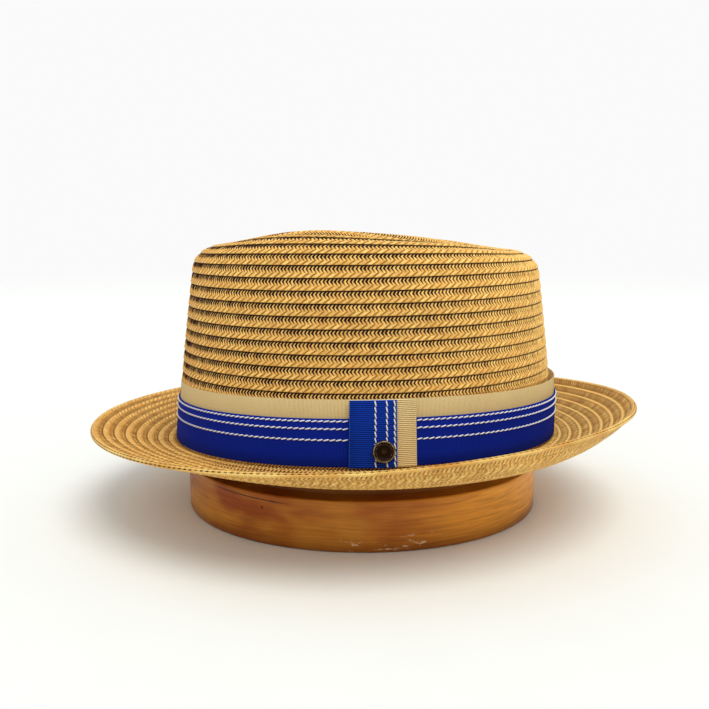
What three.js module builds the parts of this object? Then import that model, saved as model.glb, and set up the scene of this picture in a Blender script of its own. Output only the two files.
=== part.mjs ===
import * as THREE from 'three';

// Porkpie hat of sewn paper braid on its oval wooden block, in millimetres.
// The front of the hat is -X, its left side is -Y, and the table is z = 0.

// Crown
const FOOT_LENGTH = 198.4; // outside length of the crown where it meets the brim
const FOOT_WIDTH = 169.2;
const CROWN_HEIGHT = 101.4; // from the foot to the top ridge, at the sides
const CROWN_LEAN = 12.1; // how far the side leans in over that height
const CROWN_BULGE = 0.9;
const SHOULDER_HEIGHT = 12;
const SHOULDER_INSET = 15.5;
const CREASE_DEPTH = 10;

// Straw
const STRAW_WALL = 2;
const ROW_WIDTH = 5.69;
const ROW_LAP = 0.6; // how far the outer edge of a row stands over the next row
const LAP_SHARE = 0.9; // share of a row's width before the step to the next row

// Brim
const BRIM_WIDTH = 43.4;
const BRIM_LIFT = 12.7;

// How the hat sits on its block
const HAT_LIFT = 40.2; // from the table to the crown's foot
const HAT_TILT = 0.014; // rise towards the back, per millimetre of length
const FOOT_DIP = 5.5; // how much lower the crown's foot runs at the front and back than at the sides

// Ribbons
const RIBBON_THICKNESS = 0.5;
const BAND_WIDTH = 30.6;
const BLUE_WIDTH = 22.2;
const BAND_FLARE = 2.8; // how far the band's top edge stands off the crown at the back
const TAB_WIDTH = 29.8;
const TAB_BLUE_WIDTH = 21.1;
const TAB_FROM = -7.9; // place of the tab's front edge, from the crown's middle
const TAB_STEPS = 6; // flats that follow the crown's curve across the tab
const LAYER_GAP = 0.3;
const BAND_BOTTOM = 0.9; // from the crown's foot to the ribbons' lower edges

// Badge
const BADGE_DIAMETER = 10;
const BADGE_THICKNESS = 1.6;
const BADGE_RIM = 1;
const BADGE_ALONG = 15.1; // from the tab's front edge to the badge's middle
const BADGE_UP = 9; // from the crown's foot to the badge's middle
const BADGE_SIDES = 24;

// Block
const DRUM_LENGTH = 185.8;
const DRUM_WIDTH = 167.2;
const DRUM_HEIGHT = 24.7;
const DRUM_EDGE = 3; // rounding of the drum's top edge
const DRUM_EDGE_STEPS = 3;
const FOOT_CHAMFER = 1.5; // of the drum's bottom edge
const NECK_INSET = 8.5;
const PLUG_RISE = 24; // how far the plug reaches into the crown
const PLUG_EDGE = 2;
const SEAT_GAP = 0.35;

const SEGMENTS = 48;

// What lies over the crown's side, counted outwards
const LAYER = { bandBeige: 0, bandBlue: 1, tabBeige: 2, tabBlue: 3, badge: 4 };

// The brim at evenly spaced turns from back to front, the same on both sides. reach is a share of the
// brim's width and lift of its lift, and curl and upturn shape how late and how steeply it turns up.
const BRIM = [
  { place: 'back', reach: 0.94, lift: 0.92, curl: 1.8, upturn: 1 },
  { place: 'back quarter', reach: 0.96, lift: 1.22, curl: 2.7, upturn: 1.2 },
  { place: 'side', reach: 1, lift: 1, curl: 4.2, upturn: 1.35 },
  { place: 'front quarter', reach: 1.03, lift: 0.7, curl: 1.5, upturn: 1 },
  { place: 'front', reach: 1.01, lift: 0.36, curl: 1.5, upturn: 1 },
];

// The crown's top ridge at evenly spaced turns from back to front, as a share of the crown's height
const RIDGE = [
  { place: 'back', height: 0.912 },
  { place: 'beside the back', height: 0.923 },
  { place: 'back quarter', height: 0.964 },
  { place: 'side', height: 1 },
  { place: 'front quarter', height: 1.014 },
  { place: 'beside the front', height: 0.976 },
  { place: 'front', height: 0.96 },
];

// The crease that runs round the tip: inward is a share of the way from the ridge to the middle, and
// drop is a share of the crease's depth.
const TIP = [
  { inward: 0, drop: 0 },
  { inward: 0.27, drop: 1 },
  { inward: 0.66, drop: 0.52 },
  { inward: 1, drop: 0.45 },
];

// Rows of braid over the brim and up the crown, and plain rings over the rest of the tip
const BRIM_ROWS = Math.round(BRIM_WIDTH / ROW_WIDTH);
const CROWN_ROWS = Math.ceil((CROWN_HEIGHT + SHOULDER_INSET) / ROW_WIDTH);
const LEVEL_ROW = Math.floor((BAND_WIDTH - FOOT_DIP) / ROW_WIDTH); // the first row that runs level
const TIP_RINGS = 9;

// A smooth value at any turn through the rows of a table, as a cosine series
function around(table, column, turn) {
  const last = table.length - 1;
  const half = (index) => (index === 0 || index === last ? 0.5 : 1);
  let value = 0;
  for (let wave = 0; wave <= last; wave += 1) {
    const weight = table.reduce(
      (sum, row, index) => sum + half(index) * row[column] * Math.cos((Math.PI * wave * index) / last),
      0,
    );
    value += (2 / last) * half(wave) * weight * Math.cos(wave * turn);
  }
  return value;
}

const averageRidge = RIDGE.reduce((sum, row) => sum + row.height, 0) / RIDGE.length;
const crownX = (BRIM_WIDTH * (BRIM.at(-1).reach - BRIM[0].reach)) / 2;

// Eased drop of the tip at a share of the way in from the ridge
function tipDrop(inward) {
  const next = TIP.findIndex((row) => row.inward >= inward && row.inward > 0);
  const from = TIP[next - 1];
  const to = TIP[next];
  const share = (inward - from.inward) / (to.inward - from.inward);
  const eased = (1 - Math.cos(Math.PI * share)) / 2;
  return CREASE_DEPTH * (from.drop + (to.drop - from.drop) * eased);
}

// A point at half-length and half-width grown by out, at a height over the foot, before the hat is tilted
function ovalPoint(out, height, turn, scale = 1) {
  const x = crownX + (FOOT_LENGTH / 2 + out) * scale * Math.cos(turn);
  const y = (FOOT_WIDTH / 2 + out) * scale * Math.sin(turn);
  return new THREE.Vector3(x, y, HAT_LIFT + height + HAT_TILT * x);
}

// How far the crown's side stands in from its foot, at a height over the foot
function sideInset(height) {
  const share = height / CROWN_HEIGHT;
  return CROWN_LEAN * share - 4 * CROWN_BULGE * share * (1 - share);
}

// Level of the crown's foot, against its level at the sides
function footLevel(turn) {
  return -FOOT_DIP * Math.cos(turn) ** 2;
}

// The brim's upper surface, at a share of the way out from the crown's foot
function brimPoint(outward, turn) {
  const foot = footLevel(turn);
  const rise = BRIM_LIFT * around(BRIM, 'lift', turn) - foot;
  const reach = BRIM_WIDTH * around(BRIM, 'reach', turn) * (1 - (1 - outward) ** around(BRIM, 'upturn', turn));
  return ovalPoint(reach - sideInset(foot), foot + rise * outward ** around(BRIM, 'curl', turn), turn);
}

// The crown's outer surface: up the side, over the shoulder and in over the tip. climb is the length of
// braid from the foot, and closing takes the rest of the way to the tip's middle from 0 to 1.
function crownPoint(climb, closing, turn) {
  const ridge = CROWN_HEIGHT * around(RIDGE, 'height', turn);
  const sideTop = ridge - SHOULDER_HEIGHT;
  const leanStretch = Math.hypot(1, CROWN_LEAN / CROWN_HEIGHT);
  if (climb <= sideTop * leanStretch) {
    const underBand = Math.max(0, 1 - climb / (LEVEL_ROW * ROW_WIDTH));
    const height = climb / leanStretch + footLevel(turn) * underBand;
    return ovalPoint(-sideInset(height), height, turn);
  }
  const shoulderLength = (Math.PI / 4) * (SHOULDER_HEIGHT + SHOULDER_INSET);
  const past = climb - sideTop * leanStretch;
  const swing = (Math.PI / 2) * Math.min(past / shoulderLength, 1);
  const inset = sideInset(sideTop) + SHOULDER_INSET * (1 - Math.cos(swing));
  if (swing < Math.PI / 2) {
    return ovalPoint(-inset, sideTop + SHOULDER_HEIGHT * Math.sin(swing), turn);
  }
  const radius = Math.hypot(
    (FOOT_LENGTH / 2 - inset) * Math.cos(turn),
    (FOOT_WIDTH / 2 - inset) * Math.sin(turn),
  );
  const start = (past - shoulderLength) / radius;
  const inward = start + (1 - start) * closing;
  const level = ridge + (CROWN_HEIGHT * averageRidge - ridge) * inward;
  return ovalPoint(-inset, level - tipDrop(inward), turn, 1 - inward);
}

// The hat's outer surface without its laps, by rows of braid: negative over the brim, 0 at the crown's
// foot, CROWN_ROWS past the ridge and one more at the middle of the tip
function hatPoint(row, turn) {
  if (row < 0) {
    return brimPoint(-row / BRIM_ROWS, turn);
  }
  return crownPoint(Math.min(row, CROWN_ROWS) * ROW_WIDTH, Math.max(row - CROWN_ROWS, 0), turn);
}

// The same surface moved out along its normal
function hatPointOut(row, turn, out) {
  const step = 1e-3;
  const before = Math.max(row - step, -BRIM_ROWS);
  const after = Math.min(row + step, CROWN_ROWS + 1 - step);
  const along = hatPoint(after, turn).sub(hatPoint(before, turn));
  const across = hatPoint(row, turn + step).sub(hatPoint(row, turn - step));
  return hatPoint(row, turn).addScaledVector(across.cross(along).normalize(), out);
}

// A full ring of points from a function of the turn
function ring(pointAt) {
  return Array.from({ length: SEGMENTS }, (_, i) => pointAt((2 * Math.PI * i) / SEGMENTS));
}

// Joins loops of equal length one after another, and either closes on the first loop or caps both ends
function loft(loops, closed) {
  const count = loops[0].length;
  const positions = loops.flat().flatMap((point) => point.toArray());
  const index = [];
  const joined = closed ? loops.length : loops.length - 1;
  for (let i = 0; i < joined; i += 1) {
    const here = i * count;
    const there = ((i + 1) % loops.length) * count;
    for (let j = 0; j < count; j += 1) {
      const k = (j + 1) % count;
      index.push(here + j, there + j, there + k, here + j, there + k, here + k);
    }
  }
  if (!closed) {
    [0, loops.length - 1].forEach((end) => {
      const middle = loops[end].reduce((sum, point) => sum.add(point), new THREE.Vector3());
      const centre = positions.length / 3;
      positions.push(...middle.divideScalar(count).toArray());
      for (let j = 0; j < count; j += 1) {
        const k = (j + 1) % count;
        const start = end * count;
        index.push(centre, ...(end === 0 ? [start + j, start + k] : [start + k, start + j]));
      }
    });
  }
  const geometry = new THREE.BufferGeometry();
  geometry.setAttribute('position', new THREE.Float32BufferAttribute(positions, 3));
  geometry.setIndex(signedVolume(positions, index) > 0 ? index : index.reverse());
  geometry.computeVertexNormals();
  return geometry;
}

// Positive where the triangles of a closed body face outwards
function signedVolume(positions, index) {
  const corner = (i) => new THREE.Vector3().fromArray(positions, 3 * index[i]);
  let volume = 0;
  for (let i = 0; i < index.length; i += 3) {
    volume += corner(i).dot(corner(i + 1).cross(corner(i + 2)));
  }
  return volume;
}

// How far a row's outer edge stands proud: its lap, or nothing where the ribbon presses it flat, here or
// at either neighbouring point of the ring
function lap(row, turn) {
  const segment = (2 * Math.PI) / SEGMENTS;
  const level = Math.max(footLevel(turn - segment), footLevel(turn + segment));
  const bandTop = level + BAND_BOTTOM + BAND_WIDTH + LAYER_GAP;
  return row > 0 && row * ROW_WIDTH < bandTop ? 0 : ROW_LAP;
}

// Two rings for each row of braid: its outer edge, which stands proud, and where it tucks under the next
function braidRows(first, last) {
  return Array.from({ length: last - first }, (_, i) => first + i).flatMap((row) => [
    { row, out: (turn) => lap(row, turn) },
    { row: row + LAP_SHARE, out: () => 0 },
  ]);
}

// Rings of the inner surface, evenly spaced between two rows
function lining(from, to, steps) {
  return Array.from({ length: steps }, (_, i) => ({
    row: from + ((to - from) * i) / steps,
    out: () => -STRAW_WALL,
  }));
}

// Crown and brim, sewn in one spiral of braid: an open hollow shell with lapped rows outside
function hatBody() {
  const shoulderRow = Math.floor((CROWN_HEIGHT * RIDGE[0].height - SHOULDER_HEIGHT) / ROW_WIDTH);
  const outside = [
    ...braidRows(-BRIM_ROWS, 0),
    { row: 0, out: () => 0 },
    { row: LEVEL_ROW, out: () => 0 },
    { row: LEVEL_ROW + LAP_SHARE, out: () => 0 },
    ...braidRows(LEVEL_ROW + 1, CROWN_ROWS),
    ...Array.from({ length: TIP_RINGS }, (_, i) => ({ row: CROWN_ROWS + i / TIP_RINGS, out: () => 0 })),
  ];
  const inside = [
    ...lining(-BRIM_ROWS, 0, BRIM_ROWS),
    ...lining(0, LEVEL_ROW, 1),
    ...lining(LEVEL_ROW, shoulderRow, 2),
    ...lining(shoulderRow, CROWN_ROWS, CROWN_ROWS - shoulderRow),
    ...lining(CROWN_ROWS, CROWN_ROWS + 1, TIP_RINGS),
  ];
  const loops = [...outside.reverse(), ...inside].map(({ row, out }) =>
    ring((turn) => hatPointOut(row, turn, out(turn))),
  );
  return loft(loops, false);
}

// A point on or over the band: out from the crown by its own layers and the flare, and up from the foot
function bandPoint(layer, up, turn) {
  const height = footLevel(turn) + up;
  const flare = BAND_FLARE * Math.max(0, Math.cos(turn)) ** 2 * (up / BAND_WIDTH);
  return ovalPoint(layer + flare - sideInset(height), height, turn);
}

// Distance from the crown to the inner face of a layer of ribbon, counted from 0
function layerStart(layer) {
  return LAYER_GAP + layer * (RIBBON_THICKNESS + LAYER_GAP);
}

// The four corners of a ribbon's section at a turn, between two heights over the foot
function ribbonSection(layer, low, high, turn) {
  const inner = layerStart(layer);
  const outer = inner + RIBBON_THICKNESS;
  return [[inner, low], [outer, low], [outer, high], [inner, high]].map(([out, up]) =>
    bandPoint(out, up, turn),
  );
}

// A ribbon round the crown
function band(layer, width) {
  return loft(ring((turn) => ribbonSection(layer, BAND_BOTTOM, BAND_BOTTOM + width, turn)), true);
}

// The turn on the hat's left side where its wall is this far behind the crown's middle
function turnAt(along) {
  return -Math.acos(along / (FOOT_LENGTH / 2));
}

// An upright ribbon over the band on the hat's left side
function tab(layer, width) {
  const sections = Array.from({ length: TAB_STEPS + 1 }, (_, i) => {
    const turn = turnAt(TAB_FROM + (width * i) / TAB_STEPS);
    return ribbonSection(layer, BAND_BOTTOM, BAND_BOTTOM + BAND_WIDTH, turn);
  });
  return loft(sections, false);
}

// A round badge with a raised rim and a low dome, standing along +Z
function badgeGeometry() {
  const radius = BADGE_DIAMETER / 2;
  const inner = radius - BADGE_RIM;
  const profile = [
    [0, 0],
    [radius - BADGE_RIM / 3, 0],
    [radius, BADGE_THICKNESS / 3],
    [radius, BADGE_THICKNESS - BADGE_RIM / 3],
    [radius - BADGE_RIM / 2, BADGE_THICKNESS],
    [inner, BADGE_THICKNESS - BADGE_RIM / 2],
    [inner / 2, BADGE_THICKNESS - BADGE_RIM / 4],
    [0, BADGE_THICKNESS - BADGE_RIM / 6],
  ].map(([r, h]) => new THREE.Vector2(r, h));
  return new THREE.LatheGeometry(profile, BADGE_SIDES).rotateX(Math.PI / 2);
}

// Seats the badge on the tab, square to the ribbon's face
function seatBadge(mesh) {
  const turn = turnAt(TAB_FROM + BADGE_ALONG);
  const face = layerStart(LAYER.badge);
  const point = (up, at) => bandPoint(face, up, at);
  const step = 1e-3;
  const across = point(BADGE_UP, turn + step).sub(point(BADGE_UP, turn - step));
  const upward = point(BADGE_UP + step, turn).sub(point(BADGE_UP - step, turn));
  mesh.position.copy(point(BADGE_UP, turn));
  mesh.quaternion.setFromUnitVectors(new THREE.Vector3(0, 0, 1), across.cross(upward).normalize());
  return mesh;
}

// The block: an oval drum, a recessed neck and a plug that fills the crown's mouth
function block() {
  const seatHeight = PLUG_RISE + HAT_TILT * FOOT_LENGTH / 2;
  const plugOut = -sideInset(seatHeight) - STRAW_WALL - SEAT_GAP;
  const plugTop = HAT_LIFT + PLUG_RISE;
  const drum = { length: DRUM_LENGTH / 2, width: DRUM_WIDTH / 2, x: 0 };
  const plug = { length: FOOT_LENGTH / 2 + plugOut, width: FOOT_WIDTH / 2 + plugOut, x: crownX };
  const topEdge = Array.from({ length: DRUM_EDGE_STEPS + 1 }, (_, i) => {
    const turned = (Math.PI / 2) * (i / DRUM_EDGE_STEPS);
    return {
      of: drum,
      inset: DRUM_EDGE * (1 - Math.cos(turned)),
      z: DRUM_HEIGHT - DRUM_EDGE * (1 - Math.sin(turned)),
    };
  });
  const sections = [
    { of: drum, inset: FOOT_CHAMFER, z: 0 },
    { of: drum, inset: 0, z: FOOT_CHAMFER },
    ...topEdge,
    { of: drum, inset: NECK_INSET, z: DRUM_HEIGHT },
    { of: drum, inset: NECK_INSET, z: HAT_LIFT },
    { of: plug, inset: 0, z: HAT_LIFT + PLUG_RISE / 2 },
    { of: plug, inset: 0, z: plugTop - PLUG_EDGE },
    { of: plug, inset: PLUG_EDGE, z: plugTop },
  ];
  const oval = ({ of, inset, z }) => ring((turn) => {
    const x = of.x + (of.length - inset) * Math.cos(turn);
    return new THREE.Vector3(x, (of.width - inset) * Math.sin(turn), z);
  });
  return loft(sections.map(oval), false);
}

const straw = { color: 0xc79a58, roughness: 0.7, metalness: 0 };
const blueRibbon = { color: 0x1f46b4, roughness: 0.75, metalness: 0 };
const beigeRibbon = { color: 0xc9b48f, roughness: 0.8, metalness: 0 };
const bronze = { color: 0x4a3d2c, roughness: 0.45, metalness: 0.9 };
const varnishedWood = { color: 0xa85f2e, roughness: 0.35, metalness: 0 };

function named(name, geometry, finish) {
  const mesh = new THREE.Mesh(geometry, new THREE.MeshStandardMaterial(finish));
  mesh.name = name;
  return mesh;
}

const hat = new THREE.Group();
hat.add(
  named('hat_body', hatBody(), straw),
  named('band_beige', band(LAYER.bandBeige, BAND_WIDTH), beigeRibbon),
  named('band_blue', band(LAYER.bandBlue, BLUE_WIDTH), blueRibbon),
  named('tab_beige', tab(LAYER.tabBeige, TAB_WIDTH), beigeRibbon),
  named('tab_blue', tab(LAYER.tabBlue, TAB_BLUE_WIDTH), blueRibbon),
  seatBadge(named('badge', badgeGeometry(), bronze)),
);

const porkpieHatOnBlock = new THREE.Group();
porkpieHatOnBlock.add(hat, named('hat_block', block(), varnishedWood));

export default porkpieHatOnBlock;
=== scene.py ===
"""A porkpie hat of sewn paper braid on its wooden hat block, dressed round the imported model.

Everything is in metres in the part's own frame: the front of the hat is -X, its left side is -Y
and the table is z = 0. The hat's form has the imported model's sizes, with a closer fit of the brim
and of the line of the crown's foot, which the ribbons follow.
"""

import logging
import math
from dataclasses import dataclass
from enum import Enum

import bpy
import numpy as np
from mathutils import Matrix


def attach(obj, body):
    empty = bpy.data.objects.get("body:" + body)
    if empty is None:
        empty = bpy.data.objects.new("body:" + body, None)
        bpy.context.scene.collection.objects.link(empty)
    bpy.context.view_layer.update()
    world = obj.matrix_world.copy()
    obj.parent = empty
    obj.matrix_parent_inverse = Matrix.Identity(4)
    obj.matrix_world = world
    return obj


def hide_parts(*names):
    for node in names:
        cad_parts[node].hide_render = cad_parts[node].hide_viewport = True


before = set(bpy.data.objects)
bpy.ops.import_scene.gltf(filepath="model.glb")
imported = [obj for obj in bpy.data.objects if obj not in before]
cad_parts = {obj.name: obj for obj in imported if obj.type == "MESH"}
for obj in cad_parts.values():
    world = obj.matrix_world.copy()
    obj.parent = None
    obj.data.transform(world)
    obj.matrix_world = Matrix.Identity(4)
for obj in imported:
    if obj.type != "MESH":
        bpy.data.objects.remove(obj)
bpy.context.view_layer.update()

MM = 0.001
FULL_TURN = 2 * math.pi
BODY = "root"
INNER_ROWS = 64  # the pattern's rows on the hat's inner faces count back from this number
log = logging.getLogger("hat")

Colour = tuple[float, float, float, float]


def srgb(red: int, green: int, blue: int) -> Colour:
    """A linear colour from the 0 to 255 numbers that a screen shows.

    Args:
        red, green, blue: the screen's numbers.

    Returns:
        The linear colour with an alpha of 1.
    """
    shares = (red / 255, green / 255, blue / 255)
    linear = [c / 12.92 if c <= 0.04045 else ((c + 0.055) / 1.055) ** 2.4 for c in shares]
    return (linear[0], linear[1], linear[2], 1.0)


class Slot(Enum):
    """The record's material slots."""

    STRAW = "straw"
    BEIGE = "beige_ribbon"
    BLUE = "blue_ribbon"
    BRONZE = "bronze"
    WOOD = "varnished_wood"


class Layer(Enum):
    """The layers over the crown's side, counted outwards."""

    BAND_BEIGE = 0
    BAND_BLUE = 1
    TAB_BEIGE = 2
    TAB_BLUE = 3
    BADGE = 4


# Meshes


@dataclass
class Shell:
    """Points and faces of one closed form, with each face corner's place in its pattern."""

    points: np.ndarray
    faces: list[np.ndarray]
    places: list[np.ndarray]

    def triangles(self) -> np.ndarray:
        """Every face cut into triangles from its first corner, as rows of three point numbers."""
        cut = [face[:, [0, i, i + 1]] for face in self.faces for i in range(1, face.shape[1] - 1)]
        return np.concatenate(cut)

    def outward(self) -> "Shell":
        """The same shell with its faces turned outwards.

        The signed volume is the sum of a . (b x c) over the triangles, and is negative where the
        faces point inwards.

        Returns:
            The shell itself.
        """
        a, b, c = (self.points[self.triangles()[:, i]] for i in range(3))
        if np.einsum("ij,ij->", a, np.cross(b, c)) < 0:
            self.faces = [face[:, ::-1] for face in self.faces]
            self.places = [place[:, ::-1] for place in self.places]
        return self

    @staticmethod
    def joined(shells: list["Shell"]) -> "Shell":
        """Several shells as one, with the point numbers of each moved past those before it.

        Args:
            shells: the shells to join.

        Returns:
            One shell of them all.
        """
        starts = np.cumsum([0] + [len(shell.points) for shell in shells])
        faces = [face + start for shell, start in zip(shells, starts) for face in shell.faces]
        places = [place for shell in shells for place in shell.places]
        return Shell(np.concatenate([shell.points for shell in shells]), faces, places)

    def made(self, name: str, smooth: bool) -> bpy.types.Object:
        """A Blender object of this shell, with the pattern places as its UV map.

        Args:
            name: the piece's name.
            smooth: whether its faces are shaded smooth.

        Returns:
            The object, linked to the scene.
        """
        corners = np.concatenate([face.ravel() for face in self.faces])
        sizes = np.concatenate([np.full(len(face), face.shape[1]) for face in self.faces])
        mesh = bpy.data.meshes.new(name)
        mesh.vertices.add(len(self.points))
        mesh.vertices.foreach_set("co", self.points.astype(np.float32).ravel())
        mesh.loops.add(len(corners))
        mesh.polygons.add(len(sizes))
        mesh.polygons.foreach_set("loop_start", (np.cumsum(sizes) - sizes).astype(np.int32))
        mesh.polygons.foreach_set("vertices", corners.astype(np.int32))
        mesh.polygons.foreach_set("use_smooth", np.full(len(sizes), smooth))
        mesh.update(calc_edges=True)
        layer = mesh.uv_layers.new(name="pattern")
        places = np.concatenate([place.reshape(-1, 2) for place in self.places])
        layer.data.foreach_set("uv", places.astype(np.float32).ravel())
        mesh.validate()
        piece = bpy.data.objects.new(name, mesh)
        bpy.context.scene.collection.objects.link(piece)
        return piece


def grid_faces(rows: int, columns: int, wrap_rows: bool, wrap_columns: bool) -> np.ndarray:
    """Quads over a grid of points that are numbered row by row.

    Args:
        rows, columns: how many points there are each way.
        wrap_rows, wrap_columns: whether the last joins the first.

    Returns:
        Four point numbers a quad: (r, c), (r, c + 1), (r + 1, c + 1), (r + 1, c).
    """
    r, c = np.meshgrid(
        np.arange(rows if wrap_rows else rows - 1),
        np.arange(columns if wrap_columns else columns - 1),
        indexing="ij",
    )
    here, below = r * columns, (r + 1) % rows * columns
    right = (c + 1) % columns
    return np.stack([here + c, here + right, below + right, below + c], -1)


def corner_places(u: np.ndarray, v: np.ndarray) -> np.ndarray:
    """Pattern places of the corners of each quad, in the order that grid_faces gives them.

    Args:
        u, v: pattern places of the columns and of the rows.

    Returns:
        Rows by columns by 4 corners by 2.
    """
    grid = np.stack(np.meshgrid(u, v), -1)
    return np.stack([grid[:-1, :-1], grid[:-1, 1:], grid[1:, 1:], grid[1:, :-1]], 2)


def ring_shell(points: np.ndarray, u: np.ndarray, v: np.ndarray) -> Shell:
    """A closed ring: a closed section carried round a closed path.

    Args:
        points: section by columns by 3.
        u: pattern place of each column, and one more for the first again.
        v: pattern place of each section point, and one more for the first again.

    Returns:
        The shell, facing outwards.
    """
    rows, columns = points.shape[:2]
    faces = grid_faces(rows, columns, True, True)
    places = corner_places(u, v)
    return Shell(points.reshape(-1, 3), [faces.reshape(-1, 4)], [places.reshape(-1, 4, 2)]).outward()


def capped_shell(points: np.ndarray, u: np.ndarray, v: np.ndarray, wrap_rows: bool) -> Shell:
    """A closed form with two ends that are drawn to a middle point each.

    Where wrap_rows is set, the rows are a closed section carried along the columns, which end in
    caps. Otherwise each row is a ring, and the first and last rings close on their middles.

    Args:
        points: rows by columns by 3.
        u: pattern place of each column, with one more where the columns are a ring.
        v: pattern place of each row, with one more where the rows are a ring.
        wrap_rows: whether the rows close on themselves, and the columns end.

    Returns:
        The shell, facing outwards.
    """
    rows, columns = points.shape[:2]
    faces = grid_faces(rows, columns, wrap_rows, not wrap_rows)
    places = corner_places(u, v)
    numbers = np.arange(rows * columns).reshape(rows, columns)
    first, last = (numbers[:, 0], numbers[:, -1]) if wrap_rows else (numbers[0], numbers[-1])
    flat = points.reshape(-1, 3)
    middles = np.stack([flat[first].mean(0), flat[last].mean(0)])
    fans = []
    for ring, middle, forward in ((first, len(flat), wrap_rows), (last, len(flat) + 1, not wrap_rows)):
        ahead = np.roll(ring, -1)
        side = (ring, ahead) if forward else (ahead, ring)
        fans.append(np.stack([np.full(len(ring), middle), *side], -1))
    fan_places = [np.full((len(fan), 3, 2), (u[0], edge)) for fan, edge in zip(fans, (v[0], v[-1]))]
    return Shell(
        np.concatenate([flat, middles]),
        [faces.reshape(-1, 4), *fans],
        [places.reshape(-1, 4, 2), *fan_places],
    ).outward()


def placed_copies(unit: Shell, origins: np.ndarray, axes: np.ndarray) -> Shell:
    """Copies of one small shell, each at its own place and in its own axes.

    A copy's point is its origin + x * first axis + y * second axis + z * third axis.

    Args:
        unit: the shell to repeat.
        origins: one row of 3 for each copy.
        axes: copies by 3 axes by 3.

    Returns:
        One shell of all the copies.
    """
    points = origins[:, None] + np.einsum("pa,caj->cpj", unit.points, axes)
    count, size = points.shape[:2]
    moves = (np.arange(count) * size)[:, None, None]
    faces = [(face[None] + moves).reshape(-1, face.shape[1]) for face in unit.faces]
    places = []
    for place in unit.places:
        spread = np.repeat(place[None], count, 0).copy()
        spread[..., 1] += np.arange(count)[:, None, None]
        places.append(spread.reshape(-1, *place.shape[1:]))
    return Shell(points.reshape(-1, 3), faces, places)


def even_turns(count: int) -> np.ndarray:
    """Even turns round a full circle, the first at 0."""
    return np.linspace(0, FULL_TURN, count, endpoint=False)


def turned(radius: np.ndarray, height: np.ndarray, columns: int) -> np.ndarray:
    """Points of a profile turned round z, as rows by columns by 3.

    Args:
        radius, height: the profile's points.
        columns: how many turns it has.

    Returns:
        The points.
    """
    turn = even_turns(columns)
    x, y = radius[:, None] * np.cos(turn), radius[:, None] * np.sin(turn)
    return np.stack([x, y, height[:, None] + 0 * x], -1)


# Shader graphs


class Value:
    """A shader value. Python's operators on it add Math nodes to its graph."""

    def __init__(self, graph: "Graph", socket: bpy.types.NodeSocket) -> None:
        """Keeps the socket and the graph it belongs to."""
        self.graph = graph
        self.socket = socket

    def __add__(self, other: "Number") -> "Value":
        """self + other."""
        return self.graph.math("ADD", self, other)

    def __radd__(self, other: "Number") -> "Value":
        """other + self."""
        return self.graph.math("ADD", other, self)

    def __sub__(self, other: "Number") -> "Value":
        """self - other."""
        return self.graph.math("SUBTRACT", self, other)

    def __rsub__(self, other: "Number") -> "Value":
        """other - self."""
        return self.graph.math("SUBTRACT", other, self)

    def __mul__(self, other: "Number") -> "Value":
        """self * other."""
        return self.graph.math("MULTIPLY", self, other)

    def floor(self) -> "Value":
        """The whole part."""
        return self.graph.math("FLOOR", self, 0.0)

    def fract(self) -> "Value":
        """What is left over the whole part."""
        return self.graph.math("FRACT", self, 0.0)

    def size(self) -> "Value":
        """The value without its sign."""
        return self.graph.math("ABSOLUTE", self, 0.0)

    def wave(self) -> "Value":
        """A sine of the value in whole turns."""
        return self.graph.math("SINE", self * FULL_TURN, 0.0)

    def rise(self, low: float, high: float) -> "Value":
        """An eased step from 0 at low to 1 at high."""
        return self.graph.eased(self, low, high)

    def between(self, low: float, high: float, ease: float) -> "Value":
        """1 between low and high, easing to 0 over ease on both sides."""
        return self.rise(low - ease, low + ease) * (1 - self.rise(high - ease, high + ease))


Number = Value | float


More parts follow.
